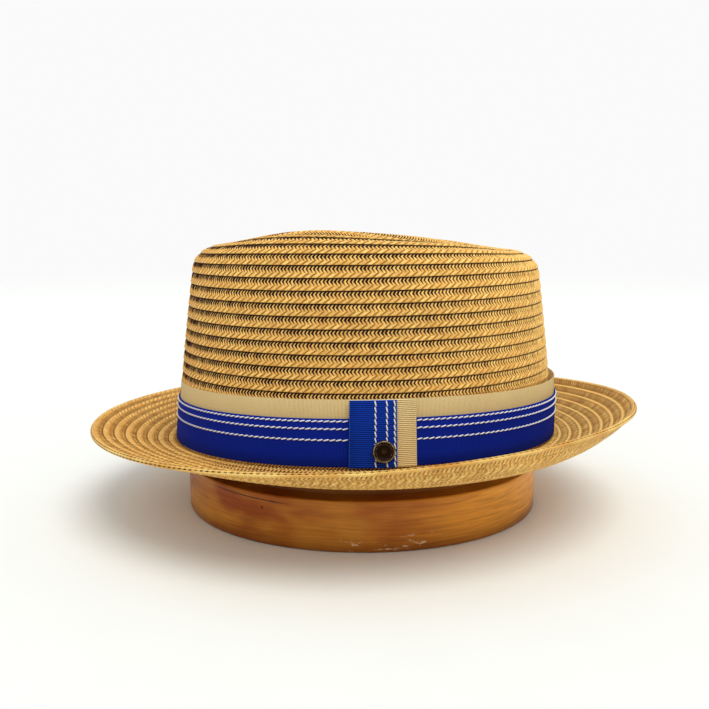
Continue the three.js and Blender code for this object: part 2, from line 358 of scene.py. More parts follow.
class Graph:
    """A material's nodes, ending in one Principled shader."""

    def __init__(self, name: str) -> None:
        """Makes the material with its shader and output."""
        self.material = bpy.data.materials.new(name)
        self.material.use_nodes = True
        self.tree = self.material.node_tree
        self.tree.nodes.clear()
        self.shader = self.node("ShaderNodeBsdfPrincipled")
        output = self.node("ShaderNodeOutputMaterial")
        self.tree.links.new(self.shader.outputs[0], output.inputs["Surface"])

    def node(
        self,
        kind: str,
        settings: dict[str, object] | None = None,
        inputs: dict[str | int, object] | None = None,
    ) -> bpy.types.Node:
        """A node with its settings made first, then its sockets given values or links.

        Args:
            kind: Blender's name of the node type.
            settings: the node's own choices by name.
            inputs: values, Values or sockets by the input's name or number.

        Returns:
            The node.
        """
        made = self.tree.nodes.new(kind)
        for key, value in (settings or {}).items():
            setattr(made, key, value)
        for key, value in (inputs or {}).items():
            self.feed(made.inputs[key], value)
        return made

    def feed(self, socket: bpy.types.NodeSocket, value: object) -> None:
        """Links a Value or socket to an input, or sets the input's own number or colour."""
        if isinstance(value, Value):
            self.tree.links.new(value.socket, socket)
        elif isinstance(value, bpy.types.NodeSocket):
            self.tree.links.new(value, socket)
        else:
            socket.default_value = value

    def math(self, operation: str, first: Number, second: Number) -> Value:
        """A Math node of two values."""
        made = self.node("ShaderNodeMath", {"operation": operation}, {0: first, 1: second})
        return Value(self, made.outputs[0])

    def eased(self, value: Value, low: float, high: float) -> Value:
        """A smooth step of the value from 0 at low to 1 at high."""
        limits = {"Value": value, "From Min": low, "From Max": high}
        made = self.node("ShaderNodeMapRange", {"interpolation_type": "SMOOTHSTEP"}, limits)
        return Value(self, made.outputs["Result"])

    def mix(self, share: Number, first: object, second: object) -> bpy.types.NodeSocket:
        """The colour between two colours at a share."""
        made = self.node("ShaderNodeMix", {"data_type": "RGBA"}, {0: share, 6: first, 7: second})
        return made.outputs[2]

    def scaled(self, colour: object, share: Number) -> bpy.types.NodeSocket:
        """A colour made darker or lighter by a factor."""
        made = self.node("ShaderNodeVectorMath", {"operation": "SCALE"}, {0: colour, "Scale": share})
        return made.outputs[0]

    def vector(self, x: Number, y: Number, z: Number) -> bpy.types.NodeSocket:
        """A vector of three values."""
        return self.node("ShaderNodeCombineXYZ", inputs={0: x, 1: y, 2: z}).outputs[0]

    def parts(self, vector: bpy.types.NodeSocket) -> tuple[Value, Value, Value]:
        """The three values of a vector."""
        outputs = self.node("ShaderNodeSeparateXYZ", inputs={0: vector}).outputs
        return (Value(self, outputs[0]), Value(self, outputs[1]), Value(self, outputs[2]))

    def pattern(self) -> tuple[Value, Value]:
        """The two pattern places of the piece's UV map."""
        u, v, _ = self.parts(self.node("ShaderNodeTexCoord").outputs["UV"])
        return u, v

    def place(self) -> bpy.types.NodeSocket:
        """Object coordinates, in metres in the part's frame."""
        return self.node("ShaderNodeTexCoord").outputs["Object"]

    def noise(self, vector: object, scale: float, detail: float = 2.0, roughness: float = 0.5) -> Value:
        """Smooth noise from 0 to 1."""
        inputs = {"Vector": vector, "Scale": scale, "Detail": detail, "Roughness": roughness}
        return Value(self, self.node("ShaderNodeTexNoise", inputs=inputs).outputs[0])

    def chance(self, first: Number, second: Number, third: Number = 0.0) -> Value:
        """An even random number from 0 to 1 for each set of three values."""
        where = self.vector(first, second, third)
        return Value(self, self.node("ShaderNodeTexWhiteNoise", inputs={"Vector": where}).outputs["Value"])

    def bump(self, height: Value, distance: float, strength: float = 1.0) -> None:
        """Feeds a height, times distance in metres, to the shader's normal."""
        inputs = {"Height": height, "Distance": distance, "Strength": strength}
        self.feed(self.shader.inputs["Normal"], self.node("ShaderNodeBump", inputs=inputs).outputs[0])

    def dress(self, **values: object) -> bpy.types.Material:
        """Feeds the shader's named inputs, with _ for a space, and returns the material."""
        for key, value in values.items():
            self.feed(self.shader.inputs[key.replace("_", " ")], value)
        return self.material


# Finishes


@dataclass(frozen=True)
class Finish:
    """A finish, drawn in shader nodes."""

    def material(self, name: str) -> bpy.types.Material:
        """The finish as a material.

        Args:
            name: the material's name.

        Returns:
            The material.
        """
        graph = Graph(name)
        self.paint(graph)
        return graph.material

    def paint(self, graph: Graph) -> None:
        """Feeds the graph's shader. Each finish has its own way."""
        raise NotImplementedError


class Plait:
    """Where a spot of straw lies in the plait, in shader values.

    row and climb are its row of braid and its share of the row's width. edge and pair_edge are its
    distances from the sides of a strand and of a pair, and crest is high in the middle of either.
    The regions are 1 inside and 0 outside: low under the chevrons' apex, inner on the hat's inner
    faces, foot on the near rows by the ribbon, brim on the rest of the brim and right on its right
    end. tone and chance are random for each strand, fibre runs along the strands, and patch varies
    over the hat.
    """

    inner_rows: tuple[float, float] = (60.0, 61.0)
    foot_rows: tuple[float, float] = (-2.0, 0.4)
    foot_depth: tuple[float, float] = (-82.0 * MM, -60.0 * MM)
    right_end: tuple[float, float] = (70.0 * MM, 105.0 * MM)
    apex_ease: float = 0.04

    def __init__(self, graph: Graph, apex: float) -> None:
        """Works the values out from the pattern's places and the Object coordinates."""
        self.u, self.v = u, v = graph.pattern()
        self.x, self.y, _ = graph.parts(graph.place())
        self.row, self.climb = v.floor(), v.fract()
        self.inner = v.rise(*self.inner_rows)
        self.foot = v.between(*self.foot_rows, 0.02) * (1 - self.y.rise(*self.foot_depth))
        self.brim = (1 - v.rise(-0.1, 0.0)) * (1 - self.foot)
        self.right = self.brim * self.x.rise(*self.right_end)
        self.low = (1 - self.climb.rise(apex - self.apex_ease, apex + self.apex_ease)) * (1 - self.foot)
        strand, pair = u.floor(), (u * 0.5).floor()
        self.edge = 0.5 - (u.fract() - 0.5).size()
        self.pair_edge = 1.0 - ((u * 0.5).fract() * 2.0 - 1.0).size()
        self.crest = self.edge.rise(0.1, 0.45) * (1 - self.low) + self.pair_edge.rise(0.15, 0.8) * self.low
        single, double = graph.chance(strand, self.row, 3.0), graph.chance(pair, self.row, 5.0)
        self.tone = single * (1 - self.low) + double * self.low
        self.chance = graph.chance(strand, self.row, 9.0)
        self.fibre = graph.noise(graph.vector(u * 7.0, v * 2.0, self.row), 1.0, 3.0, 0.65)
        self.patch = graph.noise(graph.place(), 70.0, 4.0, 0.6)


@dataclass(frozen=True)
class StrawFinish(Finish):
    """Varnished paper straw, plaited in chevrons: u counts strands and v counts rows of braid.

    Below the apex of the chevrons two strands lie together as one broad one. Above it they part,
    and dark slots open between them under the next row.
    """

    pale: Colour = srgb(255, 215, 126)
    gold: Colour = srgb(222, 159, 70)
    tan: Colour = srgb(180, 120, 48)
    brown: Colour = srgb(118, 58, 8)
    # slot: near-black painted as shade, in the slots between strands and as the shadow under each row's
    # edge; the stitch holes use it too.
    slot: Colour = srgb(40, 8, 0)
    bark: Colour = srgb(96, 26, 2)
    apex: float = 0.37
    crown_ends: float = 50.0 * MM
    top_rows: tuple[float, float] = (13.0, 59.0)
    rim_row: float = -7.0

    def paint(self, graph: Graph) -> None:
        """Draws the straw from its own colour to painted shade in its deepest places: the slots and the
        shadow under each row's edge.
        """
        plait = Plait(graph, self.apex)
        # Painted shade: depth sets how dark the seams, slots and the shadow under the rows are painted, less
        # toward the back, on the brim and on the inner faces.
        lighter_shade_behind = plait.x.rise(10.0 * MM, 95.0 * MM) * 0.35
        depth = (1 - lighter_shade_behind) * (1 - plait.brim * 0.66) * (1 - plait.inner)
        colour = self.body(graph, plait)
        colour = self.seams(graph, plait, colour, depth)
        colour = self.brim_marks(graph, plait, colour)
        colour = self.inner_marks(graph, plait, colour)
        # Painted shadow along each row's proud lower edge and under the next row's edge, in the slot colour.
        row_shadow = 1 - plait.climb.rise(0.0, 0.03) + plait.climb.rise(0.84, 0.95)
        shade = row_shadow * (0.3 + depth * 0.65) * (1 - plait.foot * 0.8) * (1 - plait.right * 0.6)
        graph.bump(plait.fibre * 0.6 + plait.crest * 0.5, 0.16 * MM, 0.8)
        roughness = 0.5 + plait.patch * 0.2
        colour = graph.mix(shade, colour, self.slot)
        graph.dress(Base_Color=colour, Roughness=roughness, Specular_IOR_Level=0.2)

    def body(self, graph: Graph, plait: Plait) -> bpy.types.NodeSocket:
        """The strands' colour, with a painted highlight on the crests, painted light at the crown's ends and
        top and painted shade on the inner faces.
        """
        colour = graph.mix(plait.patch.rise(0.35, 0.7) * 0.5, self.gold, self.tan)
        # Painted highlight: pale on each strand's crest.
        colour = graph.mix(plait.crest * (0.45 + plait.tone * 0.55), colour, self.pale)
        fleck = graph.noise(graph.place(), 850.0, 2.0, 0.7)
        # Painted light at the crown's ends and top and painted shade on the inner faces; the fibre and
        # flecks are the straw's own.
        ends = 1 - plait.x.between(-self.crown_ends, self.crown_ends, 30.0 * MM)
        lit = 0.6 + ends * 0.1 + plait.v.between(*self.top_rows, 1.0) * 0.08 - plait.inner * 0.12
        colour = graph.scaled(colour, lit + plait.fibre.rise(0.3, 0.7) * 0.36 + fleck.rise(0.3, 0.7) * 0.3)
        dull = plait.brim * plait.climb.between(0.56, 0.97, 0.08) * (0.08 + fleck * 0.2)
        return graph.mix(dull, colour, self.brown)

    def seams(
        self, graph: Graph, plait: Plait, colour: bpy.types.NodeSocket, depth: Value
    ) -> bpy.types.NodeSocket:
        """Brown seams between strands and between pairs, and slots where the strands part, painted
        near-black as shade.

        Args:
            graph, plait: the material's graph and the spot's place.
            colour: what is drawn so far.
            depth: how dark the painted shade makes the seams, marks and slots.

        Returns:
            The colour with the seams.
        """
        opened = 0.05 + plait.climb.rise(0.38, 0.7) * (0.13 + plait.chance * 0.19)
        inside = plait.edge - (opened * (1 - plait.brim * 0.35) + plait.foot * 0.07)
        seam = (1 - inside.rise(-0.02, 0.09)) * (1 - plait.low) * (1 - plait.inner * 0.85)
        mark = (1 - plait.pair_edge.rise(0.1, 0.3)) * plait.low * plait.climb.between(0.04, 0.36, 0.05)
        mark = mark * (1 - plait.inner) * (0.3 + plait.tone * 0.5)
        # The seams and marks are darker where the painted shade is deeper.
        colour = graph.mix(seam * 0.8 * (0.3 + depth * 0.7), colour, self.brown)
        colour = graph.mix(mark * (0.4 + depth * 0.6), colour, self.brown)
        # Painted shade: the slots where the strands part, near-black.
        hole = (1 - inside.rise(-0.06, 0.01)) * plait.climb.rise(0.42, 0.62) * (1 - plait.foot)
        return graph.mix(hole * depth, colour, self.slot)

    def brim_marks(self, graph: Graph, plait: Plait, colour: bpy.types.NodeSocket) -> bpy.types.NodeSocket:
        """Bold strokes by the ribbon, dotted rows at the right end and holes by the near rim.

        Args:
            graph, plait: the material's graph and the spot's place.
            colour: what is drawn so far.

        Returns:
            The colour with the marks.
        """
        stroke = (1 - plait.edge.rise(0.14, 0.26)) * plait.foot * (0.6 + plait.chance * 0.4)
        colour = graph.mix(stroke, colour, self.bark)
        colour = graph.mix(plait.edge.rise(0.28, 0.42) * plait.foot * 0.6, colour, self.pale)
        dots = (1 - plait.edge.rise(0.1, 0.4)) * 0.45 + plait.chance * 0.4 + 0.1
        colour = graph.mix(plait.right * plait.climb.between(0.24, 0.9, 0.06) * dots, colour, self.brown)
        colour = graph.mix(plait.right * plait.climb.between(0.03, 0.18, 0.04) * 0.7, colour, self.pale)
        near = (1 - plait.y.rise(-80.0 * MM, -50.0 * MM)) * (1 - plait.x.rise(-20.0 * MM, 60.0 * MM) * 0.6)
        line = (1 - plait.v.rise(self.rim_row - 0.02, self.rim_row)) * plait.climb.between(0.16, 0.66, 0.05)
        hole = (plait.u * 0.5).fract().between(0.25, 0.75, 0.08)
        return graph.mix(line * near * hole * 0.9, colour, self.slot)

    def inner_marks(self, graph: Graph, plait: Plait, colour: bpy.types.NodeSocket) -> bpy.types.NodeSocket:
        """Small crescents on the hat's inner faces, two lines in the grooves and one on the peaks.

        Args:
            graph, plait: the material's graph and the spot's place.
            colour: what is drawn so far.

        Returns:
            The colour with the marks.
        """
        climb = plait.climb
        lines = climb.between(0.22, 0.36, 0.04) + climb.between(0.66, 0.8, 0.04)
        groove = (1 - plait.edge.rise(0.12, 0.22)) * lines
        peak = plait.edge.rise(0.28, 0.38) * climb.between(0.44, 0.58, 0.04)
        share = (groove + peak) * plait.inner * plait.chance.rise(0.1, 1.0) * 0.8
        return graph.mix(share, colour, self.brown)


@dataclass(frozen=True)
class RimFinish(StrawFinish):
    """The rolled rim: u counts its stitches and v runs round its section, with a hole on each side."""

    upper_holes: tuple[float, float] = (0.1, 0.18)
    lower_holes: tuple[float, float] = (0.28, 0.37)

    def paint(self, graph: Graph) -> None:
        """Draws the rim with its holes and the strands that lie under it."""
        u, v = graph.pattern()
        x, _, _ = graph.parts(graph.place())
        fibre = graph.noise(graph.vector(u * 22.0, v * 9.0, 0.0), 1.0, 3.0, 0.65)
        patch = graph.noise(graph.place(), 60.0, 3.0)
        body = graph.mix(patch.rise(0.3, 0.7), self.gold, self.pale)
        body = graph.scaled(body, 0.72 + fibre * 0.55)
        sides = v.between(*self.upper_holes, 0.015) + v.between(*self.lower_holes, 0.015)
        left = 1 - x.rise(-40.0 * MM, 60.0 * MM) * 0.45
        chance = graph.chance(u.floor(), (v * 4.0).floor())
        hole = sides * u.fract().between(0.26, 0.7, 0.06) * chance.rise(-0.5, 0.3) * left
        colour = graph.mix(sides * (0.25 + chance * 0.3), body, self.brown)
        colour = graph.mix(hole, colour, self.slot)
        strand = (u * 3.0 + v * 4.0).fract().between(0.3, 0.7, 0.2) * v.rise(0.4, 0.46)
        colour = graph.mix(strand * 0.5, colour, self.brown)
        graph.bump(fibre - hole, 0.2 * MM, 0.7)
        graph.dress(Base_Color=colour, Roughness=0.5 + patch * 0.2, Specular_IOR_Level=0.22)


@dataclass(frozen=True)
class RibbonFinish(Finish):
    """Ribbed ribbon: u counts ribs, and v is a share of the ribbon's width."""

    base: Colour
    deep: Colour
    # contrast sets how dark the painted shade in the grooves between the ribs is.
    contrast: float = 0.5
    selvage: Colour = srgb(255, 255, 255)
    selvage_share: float = 0.0

    def paint(self, graph: Graph) -> None:
        """Draws the ribs, with painted shade in the grooves between them, the yarn and the looped edges."""
        u, v = graph.pattern()
        ridge = (u.fract() - 0.5).size()
        yarn = graph.noise(graph.vector(u * 0.7, v * 46.0, 0.0), 1.0, 2.0, 0.6)
        cloud = graph.noise(graph.place(), 40.0, 2.0)
        # Painted shade: the grooves between the ribs lean to the deep colour, with the yarn's and the
        # cloud's own variation.
        groove = 1 - ridge.rise(0.02, 0.3)
        share = (groove * self.contrast + yarn * 0.6 + cloud * 0.3 - 0.35).rise(0.0, 1.0)
        colour = graph.mix(share, self.base, self.deep)
        loop = (v.rise(0.97, 0.985) + (1 - v.rise(0.015, 0.03))) * ridge.rise(0.1, 0.3)
        colour = graph.mix(loop * self.selvage_share, colour, self.selvage)
        graph.bump(yarn * 0.4 - groove, 0.16 * MM, 0.8)
        roughness = 0.62 + yarn * 0.2
        graph.dress(Base_Color=colour, Roughness=roughness, Specular_IOR_Level=0.06)


@dataclass(frozen=True)
class ThreadFinish(Finish):
    """Glossy white sewing thread, twisted: u runs round a stitch and v along it."""

    base: Colour = srgb(252, 252, 250)
    shade: Colour = srgb(206, 208, 214)

    def paint(self, graph: Graph) -> None:
        """Draws the thread's twist."""
        u, v = graph.pattern()
        twist = ((u + v * 3.0) * 2.0).wave() * 0.5 + 0.5
        colour = graph.mix(twist * 0.6, self.base, self.shade)
        graph.bump(twist, 0.1 * MM, 0.6)
        roughness = 0.45 + graph.noise(graph.place(), 900.0) * 0.15
        graph.dress(Base_Color=colour, Roughness=roughness)


@dataclass(frozen=True)
class BronzeFinish(Finish):
    """Dark antique bronze, rubbed lighter where it stands proud, with a pale rim crest, part rubbed metal
    and part painted highlight: v is the height of the relief.
    """

    dark: Colour = srgb(34, 21, 11)
    warm: Colour = srgb(96, 66, 38)
    bright: Colour = srgb(190, 176, 150)

    def paint(self, graph: Graph) -> None:
        """Draws the dark metal, what is rubbed, and the pale rim crest that is part painted highlight."""
        _, v = graph.pattern()
        stain = graph.noise(graph.place(), 700.0, 4.0, 0.65)
        rubbed = (v + stain * 0.5).rise(0.75, 1.3)
        colour = graph.mix(rubbed, self.dark, self.warm)
        # Pale on the rim's crest: partly rubbed metal, partly a painted highlight.
        colour = graph.mix(v.rise(0.85, 0.98) * stain.rise(0.3, 0.6) * 0.7, colour, self.bright)
        graph.bump(stain, 0.08 * MM, 0.5)
        graph.dress(Base_Color=colour, Roughness=0.5 - rubbed * 0.2 + stain * 0.1, Metallic=0.85)


@dataclass(frozen=True)
class WoodFinish(Finish):
    """Varnished orange-brown wood with faint level grain, a fine check and pale scuffs, painted lighter
    toward the right and with painted shade on the ledge and neck.
    """

    light: Colour = srgb(236, 160, 52)
    mid: Colour = srgb(166, 78, 12)
    dark: Colour = srgb(98, 36, 2)
    shade: Colour = srgb(74, 22, 2)
    crack: Colour = srgb(38, 18, 8)
    scuff: Colour = srgb(230, 200, 160)
    foot_height: float = 9.0 * MM
    ledge: tuple[float, float] = (24.3 * MM, 25.0 * MM)
    scuffed_length: tuple[float, float] = (-8.0 * MM, 34.0 * MM)
    scuffed_height: tuple[float, float] = (0.5 * MM, 8.0 * MM)
    check_length: tuple[float, float] = (-72.0 * MM, -36.0 * MM)
    check_at: tuple[float, float] = (-52.0 * MM, 21.9 * MM)
    check_slope: float = 0.03
    pit_at: tuple[float, float] = (-47.0 * MM, 18.0 * MM)

    def paint(self, graph: Graph) -> None:
        """Draws the grain, the painted light toward the right, the darker foot, the painted shade on the
        ledge and neck, the scuffs, the check and the pit.
        """
        x, y, z = graph.parts(graph.place())
        warp = graph.noise(graph.vector(x * 12.0, y * 12.0, z * 60.0), 1.0, 3.0)
        grain = graph.noise(graph.vector(x * 20.0, y * 60.0, z * 900.0 + warp * 6.0), 1.0, 4.0, 0.6)
        cloud = graph.noise(graph.vector(x * 16.0, y * 16.0, z * 40.0), 1.0, 3.0, 0.6)
        # Painted light: the wood is lighter and less clouded toward the right, where the light falls.
        lit_from_right = x.rise(-30.0 * MM, 80.0 * MM)
        share = cloud.rise(0.3, 0.7) * (1 - lit_from_right * 0.85) + (1 - lit_from_right) * 0.22
        colour = graph.scaled(graph.mix(share, self.light, self.mid), lit_from_right * 0.32 + 0.84)
        colour = graph.mix((grain + warp * 0.4).rise(0.55, 0.95) * 0.42, colour, self.dark)
        foot = 1 - z.rise(0.0, self.foot_height)
        colour = graph.mix(foot * (0.45 + cloud * 0.5), colour, self.dark)
        # Painted shadow of the brim on the ledge and neck.
        colour = graph.mix(z.rise(*self.ledge) * 0.6, colour, self.shade)
        rub = graph.noise(graph.vector(x * 120.0, y * 120.0, z * 300.0), 1.0, 4.0, 0.7).rise(0.56, 0.66)
        low = z.between(*self.scuffed_height, 2.0 * MM) * x.between(*self.scuffed_length, 6.0 * MM)
        colour = graph.mix(rub * low * 0.75, colour, self.scuff)
        near = 1 - y.rise(-30.0 * MM, -20.0 * MM)
        line = (z - self.check_at[1] + (x - self.check_at[0]) * self.check_slope).size()
        wander = graph.noise(graph.vector(x * 300.0, 0.0, 0.0), 1.0, 2.0)
        split = 1 - (line + wander * 0.3 * MM).rise(0.25 * MM, 0.5 * MM)
        split = split * x.between(*self.check_length, 4.0 * MM) * near
        pit = (x - self.pit_at[0]).size() + (z - self.pit_at[1]).size()
        pit = (1 - pit.rise(0.5 * MM, 1.1 * MM)) * near
        colour = graph.mix(split * 0.9 + pit * 0.8, colour, self.crack)
        graph.bump(grain * 0.4 + cloud * 0.6 - split, 0.25 * MM, 0.35)
        graph.dress(
            Base_Color=colour,
            Roughness=0.28 + grain * 0.12 + rub * 0.25,
            Specular_IOR_Level=0.16,
            Coat_Weight=0.08,
            Coat_Roughness=0.3,
        )


# The hat's form


@dataclass(frozen=True)
class HatForm:
    """Crown and brim as smooth surfaces over rows of braid and turns, before any relief.

    A row counts braid: -8 at the rim, 0 at the crown's foot, 21 past the ridge, 22 at the middle
    of the tip. Tables run evenly from the back to the front, the same on both sides.
    """

    foot_length: float = 198.4 * MM
    foot_width: float = 169.2 * MM
    crown_height: float = 101.8 * MM
    crown_lean: float = 12.1 * MM
    crown_bulge: float = 0.9 * MM
    shoulder_height: float = 12 * MM
    shoulder_inset: float = 15.5 * MM
    crease_depth: float = 10 * MM
    wall: float = 2 * MM
    row_width: float = 5.69 * MM
    brim_width: float = 43.4 * MM
    brim_lift: float = 12.7 * MM
    hat_lift: float = 39.8 * MM
    hat_tilt: float = 0.014
    foot_dip: float = 2.7 * MM
    brim_rows: int = 8
    crown_rows: int = 21
    level_row: int = 4
    reach: tuple[float, ...] = (0.94, 0.95, 1, 1.01, 1.01)
    lift: tuple[float, ...] = (1.2, 1.13, 0.97, 0.67, 0.55)
    right_fall: float = 3 * MM
    back_twist: float = 2.1 * MM
    curl: tuple[float, ...] = (1.8, 2.7, 3.4, 1.5, 1.5)
    upturn: tuple[float, ...] = (1, 1.2, 1.35, 1, 1)
    ridge: tuple[float, ...] = (0.912, 0.923, 0.964, 1, 1.014, 0.976, 0.96)
    tip_inward: tuple[float, ...] = (0, 0.27, 0.66, 1)
    tip_drop: tuple[float, ...] = (0, 1, 0.52, 0.45)

    @property
    def crown_x(self) -> float:
        """Where the crown's middle stands along the hat."""
        return self.brim_width * (self.reach[-1] - self.reach[0]) / 2

    def around(self, table: tuple[float, ...], turn: np.ndarray) -> np.ndarray:
        """A table's value at any turn: the sum over waves w of its cosine weight times cos(w turn).

        Args:
            table: values at even turns from 0 to half a turn.
            turn: the turns.

        Returns:
            The smooth values.
        """
        last = len(table) - 1
        half = np.where(np.isin(np.arange(last + 1), (0, last)), 0.5, 1.0)
        waves = np.arange(last + 1)
        cosines = np.cos(np.pi * np.outer(waves, waves) / last)
        weights = (2 / last) * half * (cosines @ (half * np.array(table)))
        return np.cos(turn[..., None] * waves) @ weights

    def oval(
        self, out: np.ndarray, height: np.ndarray, turn: np.ndarray, scale: object = 1.0
    ) -> np.ndarray:
        """A point of the hat's oval, grown by out and lifted by height, with the hat's tilt.

        x = crown x + (half length + out) scale cos(turn), y = (half width + out) scale sin(turn),
        z = the hat's lift + height + tilt x.

        Args:
            out, height, turn: the growth, the height over the foot and the turn.
            scale: a share of the oval's size.

        Returns:
            The points.
        """
        x = self.crown_x + (self.foot_length / 2 + out) * scale * np.cos(turn)
        y = (self.foot_width / 2 + out) * scale * np.sin(turn)
        return np.stack([x, y, self.hat_lift + height + self.hat_tilt * x], -1)

    def side_inset(self, height: np.ndarray) -> np.ndarray:
        """How far the side stands in: lean s - 4 bulge s (1 - s), at a share s of the crown's height."""
        share = height / self.crown_height
        return self.crown_lean * share - 4 * self.crown_bulge * share * (1 - share)

    def foot_level(self, turn: np.ndarray) -> np.ndarray:
        """Level of the crown's foot: lower by the dip times cos^2 of the turn."""
        return -self.foot_dip * np.cos(turn) ** 2

    def brim_point(self, outward: np.ndarray, turn: np.ndarray) -> np.ndarray:
        """The brim's upper face.

        Its reach is the brim's width times 1 - (1 - outward)^upturn, and its rise goes with
        outward^curl. On the right side it rises less, by the fall times sin^1.3 of the turn, and
        behind the crown the twist times sin(2 turn) lifts its left and lowers its right.

        Args:
            outward: share of the way out from the foot.
            turn: the turns.

        Returns:
            The points.
        """
        foot = self.foot_level(turn)
        fall = self.right_fall * np.maximum(0, np.sin(turn)) ** 1.3
        fall = fall + self.back_twist * np.maximum(0, np.cos(turn)) * 2 * np.sin(turn)
        rise = self.brim_lift * self.around(self.lift, turn) - fall - foot
        share = 1 - (1 - outward) ** self.around(self.upturn, turn)
        reach = self.brim_width * self.around(self.reach, turn) * share
        height = foot + rise * outward ** self.around(self.curl, turn)
        return self.oval(reach - self.side_inset(foot), height, turn)

    def crown_point(self, climb: np.ndarray, closing: np.ndarray, turn: np.ndarray) -> np.ndarray:
        """The crown's outer face: a leaning side, an elliptic shoulder and the creased tip.

        Args:
            climb: length of braid from the foot.
            closing: share of the rest of the way to the tip's middle.
            turn: the turns.

        Returns:
            The points.
        """
        ridge = self.crown_height * self.around(self.ridge, turn)
        side_top = ridge - self.shoulder_height
        stretch = math.hypot(1, self.crown_lean / self.crown_height)
        under = np.maximum(0, 1 - climb / (self.level_row * self.row_width))
        height = climb / stretch + self.foot_level(turn) * under
        side = self.oval(-self.side_inset(height), height, turn)

        shoulder = math.pi / 4 * (self.shoulder_height + self.shoulder_inset)
        past = climb - side_top * stretch
        swing = math.pi / 2 * np.clip(past / shoulder, 0, 1)
        inset = self.side_inset(side_top) + self.shoulder_inset * (1 - np.cos(swing))
        rounded = self.oval(-inset, side_top + self.shoulder_height * np.sin(swing), turn)

        half_length, half_width = self.foot_length / 2 - inset, self.foot_width / 2 - inset
        radius = np.hypot(half_length * np.cos(turn), half_width * np.sin(turn))
        start = np.maximum(past - shoulder, 0) / radius
        inward = start + (1 - start) * closing
        level = ridge + (self.crown_height * np.mean(self.ridge) - ridge) * inward
        tip = self.oval(-inset, level - self.tip_fall(inward), turn, 1 - inward)

        on_side = (past <= 0)[..., None]
        on_shoulder = (past < shoulder)[..., None]
        return np.where(on_side, side, np.where(on_shoulder, rounded, tip))

    def tip_fall(self, inward: np.ndarray) -> np.ndarray:
        """How far the tip drops, with half a cosine wave between one stop and the next."""
        places, drops = np.array(self.tip_inward), np.array(self.tip_drop)
        stop = np.clip(np.searchsorted(places, inward, side="left"), 1, len(places) - 1)
        share = np.clip((inward - places[stop - 1]) / (places[stop] - places[stop - 1]), 0, 1)
        eased = (1 - np.cos(np.pi * share)) / 2
        return self.crease_depth * (drops[stop - 1] + (drops[stop] - drops[stop - 1]) * eased)

    def point(self, row: np.ndarray, turn: np.ndarray) -> np.ndarray:
        """The hat's outer surface at a row and a turn."""
        row, turn = np.broadcast_arrays(row, turn)
        brim = self.brim_point(np.clip(-row / self.brim_rows, 0, 1), turn)
        climb = np.clip(row, 0, self.crown_rows) * self.row_width
        crown = self.crown_point(climb, np.clip(row - self.crown_rows, 0, 1), turn)
        return np.where((row < 0)[..., None], brim, crown)

    def axes(self, row: np.ndarray, turn: np.ndarray) -> tuple[np.ndarray, np.ndarray]:
        """The surface's unit direction up the rows and its outward normal, from small differences.

        Args:
            row, turn: the places.

        Returns:
            The direction and the normal.
        """
        step = 1e-3
        before = np.maximum(row - step, -self.brim_rows)
        after = np.minimum(row + step, self.crown_rows + 1 - step)
        upward = self.point(after, turn) - self.point(before, turn)
        across = self.point(row, turn + step) - self.point(row, turn - step)
        normal = np.cross(across, upward)
        return (
            upward / np.linalg.norm(upward, axis=-1, keepdims=True),
            normal / np.linalg.norm(normal, axis=-1, keepdims=True),
        )

    def point_out(self, row: np.ndarray, turn: np.ndarray, out: np.ndarray) -> np.ndarray:
        """The surface moved out along its normal."""
        row, turn, out = np.broadcast_arrays(row, turn, out)
        return self.point(row, turn) + out[..., None] * self.axes(row, turn)[1]

    def turn_at_share(self, share: np.ndarray) -> np.ndarray:
        """The turn at a share of the way round the foot by length, for any number of rounds."""
        turns = np.linspace(0, FULL_TURN, 721)
        speed = np.hypot(self.foot_length / 2 * np.sin(turns), self.foot_width / 2 * np.cos(turns))
        length = np.concatenate([[0], np.cumsum((speed[1:] + speed[:-1]) / 2)])
        rounds = np.floor(share)
        return FULL_TURN * rounds + np.interp(share - rounds, length / length[-1], turns)

    def girth(self, row: float) -> float:
        """Length round the hat at a row, summed over short chords."""
        loop = self.point(np.full(361, row), np.linspace(0, FULL_TURN, 361))
        return float(np.linalg.norm(np.diff(loop, axis=0), axis=-1).sum())


# Straw


